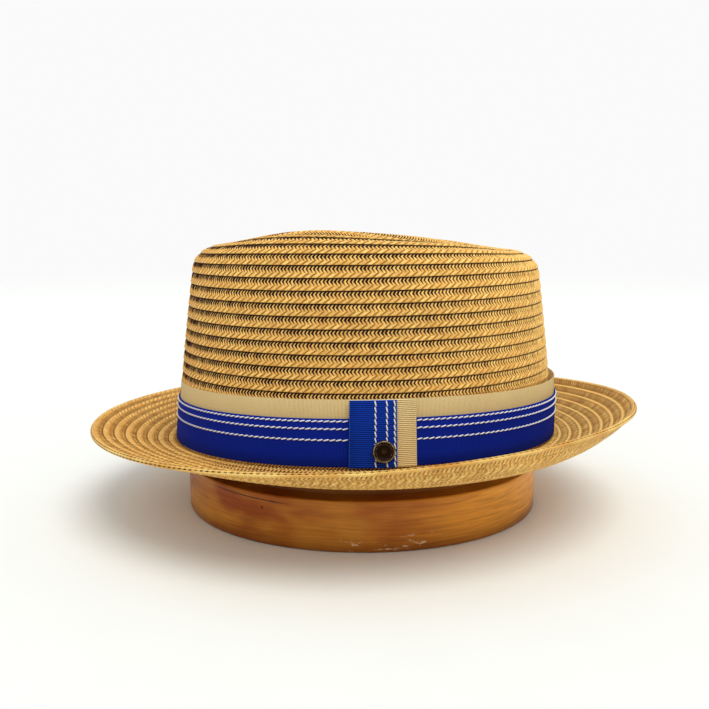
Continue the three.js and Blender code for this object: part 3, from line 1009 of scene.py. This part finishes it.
@dataclass(frozen=True)
class BraidSection:
    """The closed section of one row of braid.

    Each entry is (climb, out, strand, pair, slant): climb is a share of the row from its proud
    lower edge, out is the distance from the hat's surface, and strand and pair the height of the
    relief of single strands and of pairs, all three in millimetres. slant is how many strands the
    plait has moved along.
    """

    outer: tuple[tuple[float, ...], ...] = (
        (0.000, -0.08, 0.00, 0.00, -1.55),
        (0.015, 0.44, 0.00, 0.03, -1.50),
        (0.080, 0.60, 0.00, 0.08, -1.30),
        (0.220, 0.58, 0.00, 0.13, -0.70),
        (0.370, 0.52, 0.07, 0.13, 0.00),
        (0.540, 0.42, 0.16, 0.00, -0.36),
        (0.700, 0.28, 0.24, 0.00, -0.70),
        (0.840, 0.12, 0.28, 0.00, -0.42),
        (0.950, 0.00, 0.20, 0.00, -0.14),
        (1.060, -0.32, 0.00, 0.00, 0.10),
    )
    plain: tuple[tuple[float, ...], ...] = (
        (1.065, -2.00, 0.00, 0.00, 0.10),
        (0.080, -2.00, 0.00, 0.00, -1.30),
        (0.074, -0.32, 0.00, 0.00, -1.30),
    )
    under: tuple[tuple[float, ...], ...] = (
        (1.065, -1.20, 0.00, 0.00, -0.80),
        (0.985, -1.32, 0.00, -0.04, -0.70),
        (0.850, -1.30, -0.03, -0.06, -0.35),
        (0.680, -1.27, -0.06, -0.03, 0.00),
        (0.520, -1.22, -0.06, 0.00, -0.30),
        (0.360, -1.18, -0.08, 0.00, -0.60),
        (0.220, -1.12, -0.08, 0.00, -0.30),
        (0.080, -1.06, 0.00, 0.00, 0.00),
        (0.074, -0.32, 0.00, 0.00, 0.00),
    )
    peak: float = 0.7
    peak_play: float = 0.08
    high: float = 0.6
    high_play: float = 0.35
    pressed: float = 0.12 * MM
    freed: float = 0.8

    def ring(
        self,
        form: HatForm,
        row: float,
        width: float,
        pitch: float,
        under: tuple[float, float] | None,
        seed: int,
    ) -> Shell:
        """One row of braid as a closed ring.

        Two columns of points make each strand, one in its groove and one on its peak. They lean
        with the plait, so the strands are straight along the grid: turn = (strand + slant) of
        the strands round the ring. The relief is out + strand height + pair height.

        Args:
            form: the hat's form.
            row: the row's lower edge.
            width: the row's width in rows.
            pitch: the width of a strand.
            under: where the plait of the inner face starts and ends as shares of the row, or
                None for a plain inner face.
            seed: of the small differences from strand to strand.

        Returns:
            The ring.
        """
        climb, out, relief, pairs, slant = np.array(self.outer + (self.under if under else self.plain)).T
        is_outer = np.arange(len(climb)) < len(self.outer)
        climb_at = climb
        if under:
            climb_at = np.where(is_outer, climb, np.interp(climb, self.under_ends(), under))
        count = 2 * max(12, round(form.girth(row + 0.5 * width) / pitch / 2))
        draw = np.random.default_rng(seed)
        peaks = np.arange(count) + self.peak + draw.uniform(-self.peak_play, self.peak_play, count)
        strands = np.stack([np.arange(count), peaks], -1).ravel()
        high = self.high + draw.uniform(-self.high_play, self.high_play, count)
        single = np.stack([np.full(count, -1.0), high], -1).ravel()
        even = np.arange(count) % 2 == 0
        grooves, crests = np.where(even, -1.0, 0.4), np.where(even, 0.5, 0.6) * high / self.high
        double = np.stack([grooves, crests], -1).ravel()

        rows = row + width * climb_at[:, None]
        turns = form.turn_at_share((strands[None] + slant[:, None]) / count)
        stand = (out[:, None] + relief[:, None] * single[None] + pairs[:, None] * double[None]) * MM
        stand = np.minimum(stand, self.room_under_ribbon(form, rows, turns))
        points = form.point_out(np.minimum(rows, form.crown_rows + 1 - 2e-3), turns, stand)
        v_outer = row_number(row) + np.clip(climb[is_outer], 0, 0.999)
        v_inner = INNER_ROWS - row_number(row) + 1 - np.clip(climb[~is_outer], 0.001, 1)
        v = np.concatenate([v_outer, v_inner, [row_number(row)]])
        return ring_shell(points, np.append(strands, count), v)

    def under_ends(self) -> tuple[float, float]:
        """Where the plait of the inner face starts and ends in the table, as shares of the row."""
        return self.under[-2][0], self.under[0][0]

    def room_under_ribbon(self, form: HatForm, rows: np.ndarray, turns: np.ndarray) -> np.ndarray:
        """How far the braid may stand out: hardly at all where the ribbon presses it flat.

        The room grows from the pressed height by the distance over the ribbon's top edge.

        Args:
            form: the hat's form.
            rows, turns: the places.

        Returns:
            The largest distance out.
        """
        ribbon = RibbonForm()
        over = rows * form.row_width - form.foot_level(turns) - ribbon.bottom - ribbon.band_width
        room = self.pressed + np.maximum(over, 0) * self.freed
        return np.where(rows < 0, 1.0, room)


def row_number(row: float) -> float:
    """The whole number that stands for a row in the pattern."""
    return float(math.floor(row * 16 + 0.5)) if row % 1 else float(row)


@dataclass
class StrawHat:
    """Crown and brim of sewn braid, in groups of rows."""

    form: HatForm = HatForm()
    section: BraidSection = BraidSection()
    finish: StrawFinish = StrawFinish()
    rim_finish: RimFinish = RimFinish()
    crown_pitch: float = 1.72 * MM
    brim_pitch: float = 1.9 * MM
    row_seed: int = 100
    tip_seed: int = 300
    tip_rows: int = 11
    crown_split: int = 12
    under_shift: float = 0.3
    button_radius: float = 3.2 * MM
    button_rise: float = 1.0 * MM
    button_sunk: float = 1.2 * MM
    rim_height: float = 1.0 * MM
    rim_depth: float = 1.25 * MM
    rim_sunk: float = 0.5 * MM
    rim_inward: float = 0.7 * MM
    rim_pinch: float = 0.1
    rim_stitch: float = 2.9 * MM

    def crown_rows(self, first: int, last: int) -> Shell:
        """Whole rows of the crown's braid from first up to last."""
        rings = [
            self.section.ring(self.form, row, 1.0, self.crown_pitch, None, self.row_seed + row)
            for row in range(first, last)
        ]
        return Shell.joined(rings)

    def brim_rows(self, first: int, last: int) -> Shell:
        """Rows of the brim's braid from first up to last.

        The rows of the underside are sewn further in than those above, so the row at the rim
        shows broader from below.
        """
        start, end = self.section.under_ends()
        rings = []
        for row in range(first, last):
            low = start if row == -self.form.brim_rows else start + self.under_shift
            high = end if row == -1 else end + self.under_shift
            seed = self.row_seed + row
            rings.append(self.section.ring(self.form, row, 1.0, self.brim_pitch, (low, high), seed))
        return Shell.joined(rings)

    def tip(self) -> Shell:
        """The tip's rows, each a share of the way to the middle, and a small button of braid there."""
        form, width = self.form, 1 / self.tip_rows
        rings = []
        for i in range(self.tip_rows):
            row, seed = form.crown_rows + i * width, self.tip_seed + i
            rings.append(self.section.ring(form, row, width, self.crown_pitch, None, seed))
        return Shell.joined([*rings, self.button()])

    def button(self) -> Shell:
        """A low dome over the middle of the tip: radius r sin(a) and height h cos(a)."""
        middle = self.form.point(np.array([self.form.crown_rows + 0.9999]), np.array([0.0]))[0]
        angle = np.linspace(0.12, math.pi / 2, 7)
        wide, sunk = self.button_radius, -self.button_sunk
        radius = np.concatenate([wide * np.sin(angle), [wide, 0.5 * MM]])
        height = np.concatenate([self.button_rise * np.cos(angle), [sunk, sunk]])
        points = middle + turned(radius, height, 32)
        return capped_shell(points, np.linspace(0, 12, 33), np.linspace(0.3, 0.6, len(points)), False)

    def rim(self) -> Shell:
        """The rolled edge: an oval section at the brim's end, pinched once every stitch.

        Returns:
            The ring, with a pattern of stitches by shares of the section.
        """
        stitches = round(self.form.girth(-self.form.brim_rows) / self.rim_stitch)
        columns = stitches * 4
        turns = self.form.turn_at_share(np.arange(columns) / columns)
        row = np.full(columns, float(-self.form.brim_rows))
        upward, normal = self.form.axes(row, turns)
        centre = self.form.point(row, turns) - normal * self.rim_sunk + upward * self.rim_inward
        pinched = np.array([0.0, 0.6, 1.0, 0.6])[np.arange(columns) % 4]
        pinch = 1 - self.rim_pinch * pinched[None, :, None]
        angle = even_turns(14)[:, None, None]
        across, along = np.cos(angle) * self.rim_depth, np.sin(angle) * self.rim_height
        points = centre + pinch * (across * normal - along * upward)
        return ring_shell(points, np.arange(columns + 1) / 4, np.linspace(0, 1, 15))

    def build(self) -> list[bpy.types.Object]:
        """Builds every straw piece and dresses it."""
        straw = self.finish.material("straw")
        brim_split = -self.form.brim_rows // 2
        groups = {
            "straw_brim_outer": self.brim_rows(-self.form.brim_rows, brim_split),
            "straw_brim_inner": self.brim_rows(brim_split, 0),
            "straw_crown_foot": self.crown_rows(0, self.form.level_row),
            "straw_crown_side": self.crown_rows(self.form.level_row, self.crown_split),
            "straw_crown_shoulder": self.crown_rows(self.crown_split, self.form.crown_rows),
            "straw_tip": self.tip(),
        }
        pieces = [(shell.made(name, False), straw) for name, shell in groups.items()]
        pieces.append((self.rim().made("straw_rim", True), self.rim_finish.material("straw_rim")))
        return [settle(piece, material, Slot.STRAW, "hat_body") for piece, material in pieces]


def settle(
    piece: bpy.types.Object, material: bpy.types.Material, slot: Slot, *nodes: str
) -> bpy.types.Object:
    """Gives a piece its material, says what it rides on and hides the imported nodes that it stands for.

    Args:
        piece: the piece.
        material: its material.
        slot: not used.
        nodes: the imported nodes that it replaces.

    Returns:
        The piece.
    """
    piece.data.materials.append(material)
    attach(piece, BODY)
    if nodes:
        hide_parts(*nodes)
    cut = sum(len(polygon.vertices) - 2 for polygon in piece.data.polygons)
    log.info("%s: %d triangles", piece.name, cut)
    return piece


# Ribbons


@dataclass(frozen=True)
class RibbonForm:
    """Sizes of the ribbons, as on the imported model, and their places over the crown's foot."""

    thickness: float = 0.5 * MM
    gap: float = 0.3 * MM
    bottom: float = 1.5 * MM
    band_width: float = 30.0 * MM
    blue_width: float = 21.6 * MM
    flare: float = 2.8 * MM
    tab_width: float = 29.8 * MM
    tab_blue_width: float = 21.1 * MM
    tab_from: float = -7.9 * MM

    def start(self, layer: Layer) -> float:
        """Distance from the crown to the inner face of a layer."""
        return self.gap + layer.value * (self.thickness + self.gap)

    def point(self, form: HatForm, out: np.ndarray, up: np.ndarray, turn: np.ndarray) -> np.ndarray:
        """A point over the band.

        It stands out by the layers and by the flare times cos^2 of the turn at the back, and up
        from the foot's own level.

        Args:
            form: the hat's form.
            out, up, turn: distance from the crown, height over the foot and turn.

        Returns:
            The points.
        """
        height = form.foot_level(turn) + up
        flare = self.flare * np.maximum(0, np.cos(turn)) ** 2 * up / self.band_width
        return form.oval(out + flare - form.side_inset(height), height, turn)

    def seat(
        self, form: HatForm, out: float, up: np.ndarray, turn: np.ndarray
    ) -> tuple[np.ndarray, np.ndarray, np.ndarray]:
        """Points over the band, with the unit directions round it and up it from small steps.

        Args:
            form: the hat's form.
            out, up, turn: distance from the crown, height over the foot and turn.

        Returns:
            The points and the two directions.
        """
        step = 1e-3
        at = self.point(form, out + 0 * up, up, turn)
        along = self.point(form, out + 0 * up, up, turn + step) - at
        rise = self.point(form, out + 0 * up, up + step * MM, turn) - at
        along, rise = (way / np.linalg.norm(way, axis=-1, keepdims=True) for way in (along, rise))
        return at, along, rise

    def turn_at(self, form: HatForm, along: np.ndarray) -> np.ndarray:
        """The turn on the left side at a distance behind the crown's middle."""
        return -np.arccos(along / (form.foot_length / 2))


@dataclass
class Ribbons:
    """The two-colour band round the crown, the two-colour tab over it, and the white stitches."""

    form: HatForm = HatForm()
    ribbon: RibbonForm = RibbonForm()
    rib: float = 0.62 * MM
    tab_rib: float = 0.85 * MM
    rib_height: float = 0.05 * MM
    stitch_pitch: float = 2.78 * MM
    stitch_rows: tuple[float, ...] = (1.1 * MM, 4.5 * MM, 9.5 * MM)
    stitch_half: float = 1.46 * MM
    stitch_radius: float = 0.33 * MM
    stitch_bend: float = 0.3 * MM
    stitch_sunk: float = 0.08 * MM
    first_stitch: float = 1.45 * MM
    last_stitch: float = 1.75 * MM
    edge_round: float = 0.12 * MM
    saw_depth: float = 0.12 * MM
    rib_row: float = 2.0
    sheet_row: float = 2.5
    stitch_row: float = 3.0
    beige: RibbonFinish = RibbonFinish(srgb(228, 201, 145), srgb(172, 140, 84))
    blue: RibbonFinish = RibbonFinish(srgb(14, 40, 160), srgb(6, 10, 62))
    beige_tab: RibbonFinish = RibbonFinish(
        srgb(246, 222, 164), srgb(158, 118, 58), 0.95, srgb(244, 240, 190), 0.6
    )
    blue_tab: RibbonFinish = RibbonFinish(srgb(16, 62, 180), srgb(4, 8, 56), 0.85, srgb(60, 120, 230), 0.6)
    thread: ThreadFinish = ThreadFinish()
    slant: float = math.radians(13)

    def section(self, layer: Layer, low: float, high: float) -> tuple[np.ndarray, np.ndarray, np.ndarray]:
        """A ribbon's closed section, up the outer face and down the inner one.

        Args:
            layer: the layer it lies in.
            low, high: heights over the foot.

        Returns:
            Distances out, heights, and 1 where a point is on the outer face.
        """
        inner = self.ribbon.start(layer)
        outer = inner + self.ribbon.thickness
        round_by = self.edge_round
        between = np.linspace(low, high, 5)[1:-1]
        up = np.array([low, low + round_by, *between, high - round_by, high, high, low])
        out = np.array([outer - round_by, *([outer] * 5), outer - round_by, inner, inner])
        return out, up, (out > inner + round_by / 2).astype(float)

    def band(self, layer: Layer, width: float) -> Shell:
        """A ribbon round the crown, ribbed across its width.

        Args:
            layer: the layer it lies in.
            width: its width.

        Returns:
            The closed ring.
        """
        low = self.ribbon.bottom
        out, up, face = self.section(layer, low, low + width)
        ribs = round(self.form.girth(self.rib_row) / self.rib)
        columns = np.arange(2 * ribs) / 2
        turns = self.form.turn_at_share(columns / ribs)
        crest = np.where(np.arange(2 * ribs) % 2, self.rib_height, 0.0)
        stand = out[:, None] + face[:, None] * (crest[None] - self.rib_height)
        points = self.ribbon.point(self.form, stand, up[:, None] + 0 * turns[None], turns[None] + 0 * stand)
        v = np.append((up - low) / width, 0.0)
        return ring_shell(points, np.append(columns, ribs), v)

    def tab(self, layer: Layer, width: float) -> Shell:
        """An upright ribbon over the band, ribbed across its width, with a fine saw edge.

        Args:
            layer: the layer it lies in.
            width: its width.

        Returns:
            The closed strip.
        """
        low, high = self.ribbon.bottom, self.ribbon.bottom + self.ribbon.band_width
        inner = self.ribbon.start(layer)
        outer = inner + self.ribbon.thickness
        ribs = round((high - low) / self.tab_rib)
        up = np.linspace(low, high, 2 * ribs + 1)
        crest = np.where(np.arange(2 * ribs + 1) % 2, 1.0, 0.0)
        share = np.array([0.0, 0.004, 0.25, 0.5, 0.75, 0.996, 1.0, 1.0, 0.0])
        out = np.array([outer - 0.1 * MM, *([outer] * 5), outer - 0.1 * MM, inner, inner])
        face = (out > inner + 0.05 * MM).astype(float)
        saw = np.where(share == 0, -1.0, np.where(share == 1, 1.0, 0.0))
        uneven = self.saw_depth * saw[:, None] * (crest[None] - 1)
        along = self.ribbon.tab_from + width * share[:, None] + uneven
        stand = out[:, None] + face[:, None] * self.rib_height * (crest[None] - 1)
        turns = self.ribbon.turn_at(self.form, along)
        points = self.ribbon.point(self.form, stand, up[None] + 0 * stand, turns)
        v = np.append(share, 0.0)
        return capped_shell(points, np.arange(2 * ribs + 1) / 2, v, True)

    def stitch(self) -> Shell:
        """One stitch, a bent bead: its middle rises by 1 - a^2 and its radius goes with (1 - a^4)^(1/2).

        Returns:
            The stitch along x, standing up along z, in metres.
        """
        a = np.linspace(-0.98, 0.98, 7)[:, None]
        angle = even_turns(6)[None]
        radius = self.stitch_radius * np.sqrt(1 - a**4)
        x = a * self.stitch_half + 0 * angle
        y = radius * np.cos(angle)
        z = radius * np.sin(angle) + self.stitch_bend * (1 - a * a) - self.stitch_sunk
        points = np.stack([x, y, z], -1)
        return capped_shell(points, np.linspace(0, 1, 7), np.linspace(0, 0.9, 7), False)

    def sewn(self, layer: Layer, up: np.ndarray, turn: np.ndarray, upright: bool) -> Shell:
        """Stitches at places on a layer's outer face, each slanted across its line of sewing.

        Args:
            layer: the layer that is sewn.
            up, turn: the stitches' middles.
            upright: whether the line of sewing runs up.

        Returns:
            One shell of all the stitches.
        """
        out = self.ribbon.start(layer) + self.ribbon.thickness
        at, along, rise = self.ribbon.seat(self.form, out, up, turn)
        normal = np.cross(along, rise)
        first, second = (rise, -along) if upright else (along, rise)
        lead = first * math.cos(self.slant) + second * math.sin(self.slant)
        axes = np.stack([lead, np.cross(normal, lead), normal], 1)
        return placed_copies(self.stitch(), at, axes)

    def band_stitches(self) -> Shell:
        """The three lines of stitches round the blue band, left out under the tab."""
        top = self.ribbon.bottom + self.ribbon.blue_width
        edges = self.ribbon.tab_from + np.array([self.ribbon.tab_width, 0.0])
        shares = np.linspace(0, 1, 2001)
        end_turns = self.ribbon.turn_at(self.form, edges) % FULL_TURN
        start, end = np.interp(end_turns, self.form.turn_at_share(shares), shares)
        girth = self.form.girth(self.stitch_row)
        first, last = start + self.first_stitch / girth, 1 + end - self.last_stitch / girth
        count = round((last - first) * girth / self.stitch_pitch) + 1
        turns = self.form.turn_at_share(np.linspace(first, last, count) % 1.0)
        levels = [np.full(count, top - below) for below in self.stitch_rows]
        return Shell.joined([self.sewn(Layer.BAND_BLUE, level, turns, False) for level in levels])

    def tab_stitches(self) -> Shell:
        """The three upright lines of stitches on the blue tab."""
        width, inset = self.ribbon.band_width, self.first_stitch
        count = round(width / self.stitch_pitch)
        up = self.ribbon.bottom + np.linspace(inset, width - inset, count)
        lines = []
        for inside in self.stitch_rows:
            along = self.ribbon.tab_from + self.ribbon.tab_blue_width - inside
            turns = np.full(count, float(self.ribbon.turn_at(self.form, np.array(along))))
            lines.append(self.sewn(Layer.TAB_BLUE, up, turns, True))
        return Shell.joined(lines)

    def build(self) -> list[bpy.types.Object]:
        form = self.ribbon
        lower = self.band(Layer.BAND_BEIGE, form.band_width).made("ribbon_band_beige", True)
        upper = self.band(Layer.BAND_BLUE, form.blue_width).made("ribbon_band_blue", True)
        back = self.tab(Layer.TAB_BEIGE, form.tab_width).made("ribbon_tab_beige", True)
        front = self.tab(Layer.TAB_BLUE, form.tab_blue_width).made("ribbon_tab_blue", True)
        settle(lower, self.beige.material("beige_ribbon"), Slot.BEIGE, "band_beige")
        settle(upper, self.blue.material("blue_ribbon"), Slot.BLUE, "band_blue")
        settle(back, self.beige_tab.material("beige_tab_ribbon"), Slot.BEIGE, "tab_beige")
        settle(front, self.blue_tab.material("blue_tab_ribbon"), Slot.BLUE, "tab_blue")
        thread = self.thread.material("white_thread")
        band_sewing = settle(self.band_stitches().made("stitches_band", True), thread, Slot.BLUE)
        tab_sewing = settle(self.tab_stitches().made("stitches_tab", True), thread, Slot.BLUE)
        girth = self.form.girth(self.sheet_row)
        return [lower, upper, back, front, band_sewing, tab_sewing]


# Badge


@dataclass
class Badge:
    """A small round badge with a raised rim, a ring of beads and a low dome."""

    form: HatForm = HatForm()
    ribbon: RibbonForm = RibbonForm()
    diameter: float = 10 * MM
    thickness: float = 1.6 * MM
    rim: float = 1.0 * MM
    along: float = 15.1 * MM
    up: float = 9 * MM
    beads: int = 28
    bead: float = 0.2 * MM
    finish: BronzeFinish = BronzeFinish()

    def plate(self) -> Shell:
        """The badge's profile turned round z: back, rim, sunk field and a dome with one step.

        Each row of the profile is (radius, height, how high it counts in the finish).

        Returns:
            The plate, standing on z = 0.
        """
        r, t, rim = self.diameter / 2, self.thickness, self.rim
        profile = np.array(
            [
                (0.2 * r, 0.0, 0.0), (r - 0.3 * rim, 0.0, 0.0), (r, 0.3 * t, 0.2), (r, 0.8 * t, 0.6),
                (r - 0.2 * rim, 0.97 * t, 1.0), (r - 0.5 * rim, t, 1.0), (r - 0.8 * rim, 0.95 * t, 0.8),
                (r - rim, 0.62 * t, 0.1), (r - 1.25 * rim, 0.58 * t, 0.0), (r - 1.7 * rim, 0.6 * t, 0.1),
                (r - 1.8 * rim, 0.76 * t, 0.7), (r - 2.1 * rim, 0.78 * t, 0.6),
                (r - 2.2 * rim, 0.68 * t, 0.1), (0.4 * r, 0.78 * t, 0.4), (0.25 * r, 0.86 * t, 0.6),
                (0.1 * r, 0.9 * t, 0.8),
            ]
        )
        radius, height, relief = profile.T
        return capped_shell(turned(radius, height, 64), np.linspace(0, 1, 65), relief, False)

    def bead_ring(self) -> Shell:
        """Small beads in the sunk field, each half a ball."""
        angle = np.linspace(0.25, math.pi * 0.6, 4)
        points = turned(self.bead * np.sin(angle), self.bead * np.cos(angle), 8)
        unit = capped_shell(points, np.linspace(0, 1, 9), np.linspace(0.9, 0.3, 4), False)
        ring = np.array([self.diameter / 2 - 1.35 * self.rim])
        level = np.array([0.62 * self.thickness])
        origins = turned(ring, level, self.beads)[0]
        return placed_copies(unit, origins, np.repeat(np.eye(3)[None], self.beads, 0))

    def seated(self, shell: Shell) -> Shell:
        """Moves a shell that stands on z = 0 to its place, square to the ribbon's face.

        Args:
            shell: the shell at the origin.

        Returns:
            The shell in place.
        """
        out, up = self.ribbon.start(Layer.BADGE), np.array([self.up])
        turn = self.ribbon.turn_at(self.form, np.array([self.ribbon.tab_from + self.along]))
        at, along, rise = self.ribbon.seat(self.form, out, up, turn)
        axes = np.concatenate([along, rise, np.cross(along, rise)])
        shell.points = at + shell.points @ axes
        return shell

    def build(self) -> list[bpy.types.Object]:
        """Builds and dresses the badge."""
        shell = self.seated(Shell.joined([self.plate(), self.bead_ring()]))
        bronze = self.finish.material("bronze")
        return [settle(shell.made("badge_relief", True), bronze, Slot.BRONZE, "badge")]


# Block


@dataclass
class HatBlock:
    """The wooden block: an oval drum, a recessed neck and a plug in the crown's mouth."""

    form: HatForm = HatForm()
    length: float = 185.8 * MM
    width: float = 167.2 * MM
    height: float = 24.7 * MM
    edge: float = 1.2 * MM
    foot_edge: float = 1.5 * MM
    ledge_edge: float = 0.6 * MM
    neck_inset: float = 8.5 * MM
    neck_end: float = 2 * MM
    plug_taper: float = 12 * MM
    plug_rise: float = 24 * MM
    plug_edge: float = 2 * MM
    seat_gap: float = 0.35 * MM
    columns: int = 240
    finish: WoodFinish = WoodFinish()

    def profile(self) -> np.ndarray:
        """The block's profile as rows of (share of plug, inset, height), bottom to top.

        Each rounded edge is a quarter circle in five steps.

        Returns:
            The profile.
        """
        arc = np.linspace(0, math.pi / 2, 6)
        far, near = 1 - np.cos(arc), 1 - np.sin(arc)
        foot = np.stack([0 * arc, self.foot_edge * near, self.foot_edge * far], -1)
        levels = np.linspace(4 * MM, self.height - self.edge - 1 * MM, 5)
        side = np.stack([0 * levels, 0 * levels, levels], -1)
        top = np.stack([0 * arc, self.edge * far, self.height - self.edge * near], -1)
        lift, inset = self.form.hat_lift, self.neck_inset
        round_by = self.ledge_edge
        ledge = np.array([(0, inset - round_by, self.height), (0, inset, self.height + round_by)])
        neck = np.array([(0, inset, lift - self.neck_end), (0, inset, lift), (1, 0, lift + self.plug_taper)])
        plug_top = lift + self.plug_rise
        plug = np.stack([0 * arc + 1, self.plug_edge * far, plug_top - self.plug_edge * near], -1)
        return np.concatenate([foot, side, top, ledge, neck, plug])

    def shell(self) -> Shell:
        """The profile carried round the oval: each row blends the drum's oval into the plug's.

        Returns:
            The closed block.
        """
        share, inset, height = (part[:, None] for part in self.profile().T)
        seat = self.plug_rise + self.form.hat_tilt * self.form.foot_length / 2
        out = -self.form.side_inset(np.array(seat)) - self.form.wall - self.seat_gap
        turn = even_turns(self.columns)[None]
        half_length = (1 - share) * self.length / 2 + share * (self.form.foot_length / 2 + out)
        half_width = (1 - share) * self.width / 2 + share * (self.form.foot_width / 2 + out)
        x = share * self.form.crown_x + (half_length - inset) * np.cos(turn)
        y = (half_width - inset) * np.sin(turn)
        points = np.stack([x, y, height + 0 * x], -1)
        return capped_shell(points, np.linspace(0, 1, self.columns + 1), self.profile()[:, 2], False)

    def build(self) -> list[bpy.types.Object]:
        """Builds and dresses the block."""
        wood = self.finish.material("varnished_wood")
        return [settle(self.shell().made("wood_block", True), wood, Slot.WOOD, "hat_block")]


# Studio


@dataclass
class Studio:
    """A pale floor that fades into a pale room, one soft light and the camera."""

    camera_at: tuple[float, float, float] = (-0.004, -0.45, 0.15103)
    look_down: float = 9.199
    lens: float = 43.12
    floor_rings: tuple[float, ...] = (0.2, 0.4, 0.8, 1.6, 3.0)
    floor_columns: int = 64
    floor_fade: tuple[float, float] = (0.7, 2.2)
    room: Colour = srgb(250, 250, 250)
    ambient: Colour = (0.71, 0.74, 0.76, 1.0)
    key_at: tuple[float, float, float] = (0.26, -0.34, 1.0)
    key_spread: float = 40.0
    key_power: float = 1.42
    key_colour: tuple[float, float, float] = (1.04, 1.0, 0.91)

    def floor(self) -> bpy.types.Object:
        """A flat round floor whose alpha fades out far from the object."""
        rings, columns = len(self.floor_rings), self.floor_columns
        radius = np.array(self.floor_rings)
        ring = turned(radius, 0 * radius, columns)
        points = np.concatenate([[(0.0, 0.0, 0.0)], ring.reshape(-1, 3)])
        quads = grid_faces(rings, columns, False, True).reshape(-1, 4) + 1
        first = np.arange(columns)
        middle = np.stack([0 * first, first + 1, (first + 1) % columns + 1], -1)
        places = [np.zeros((len(quads), 4, 2)), np.zeros((columns, 3, 2))]
        shell = Shell(points, [quads[:, ::-1], middle], places)
        floor = shell.made("floor", False)
        graph = Graph("pale_floor")
        x, y, _ = graph.parts(graph.place())
        far = graph.math("SQRT", x * x + y * y, 0.0)
        fleck = graph.noise(graph.place(), 30.0)
        colour = graph.mix(fleck, srgb(241, 243, 241), srgb(244, 246, 244))
        floor.data.materials.append(
            graph.dress(
                Base_Color=colour,
                Roughness=0.9,
                Specular_IOR_Level=0.1,
                Alpha=1 - far.rise(*self.floor_fade),
            )
        )
        return floor

    def key(self) -> bpy.types.Object:
        """One soft light from far off, the same all over the floor."""
        data = bpy.data.lights.new("key", "SUN")
        data.angle = math.radians(self.key_spread)
        data.energy = self.key_power
        data.color = self.key_colour
        light = bpy.data.objects.new("key", data)
        bpy.context.scene.collection.objects.link(light)
        way = -np.array(self.key_at)
        lean = math.acos(-way[2] / np.linalg.norm(way))
        light.location = self.key_at
        light.rotation_euler = (lean, 0.0, math.atan2(way[1], way[0]) - math.pi / 2)
        return light

    def camera(self) -> bpy.types.Object:
        """The camera at the photograph's viewing angle."""
        data = bpy.data.cameras.new("camera")
        data.lens = self.lens
        data.sensor_width = 36.0
        data.clip_start = 0.01
        camera = bpy.data.objects.new("camera", data)
        camera.location = self.camera_at
        camera.rotation_euler = (math.radians(90 - self.look_down), 0.0, 0.0)
        bpy.context.scene.collection.objects.link(camera)
        bpy.context.scene.camera = camera
        return camera

    def build(self) -> list[bpy.types.Object]:
        """Makes the room with its own light, the key light, the floor and the camera."""
        scene = bpy.context.scene
        scene.view_settings.view_transform = "Standard"
        world = bpy.data.worlds.new("room")
        world.use_nodes = True
        tree = world.node_tree
        background = tree.nodes["Background"]
        background.inputs["Color"].default_value = self.ambient
        seen = tree.nodes.new("ShaderNodeBackground")
        seen.inputs["Color"].default_value = self.room
        path = tree.nodes.new("ShaderNodeLightPath")
        choice = tree.nodes.new("ShaderNodeMixShader")
        tree.links.new(path.outputs["Is Camera Ray"], choice.inputs[0])
        tree.links.new(background.outputs[0], choice.inputs[1])
        tree.links.new(seen.outputs[0], choice.inputs[2])
        tree.links.new(choice.outputs[0], tree.nodes["World Output"].inputs[0])
        scene.world = world
        return [self.key(), self.floor(), self.camera()]


def main() -> None:
    """Builds each sub-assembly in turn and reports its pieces."""
    logging.basicConfig(level=logging.INFO, format="%(message)s")
    for assembly in (Studio(), StrawHat(), Ribbons(), Badge(), HatBlock()):
        built = assembly.build()
        log.info("%s: %s", type(assembly).__name__, ", ".join(piece.name for piece in built))


if __name__ == "__main__":
    main()
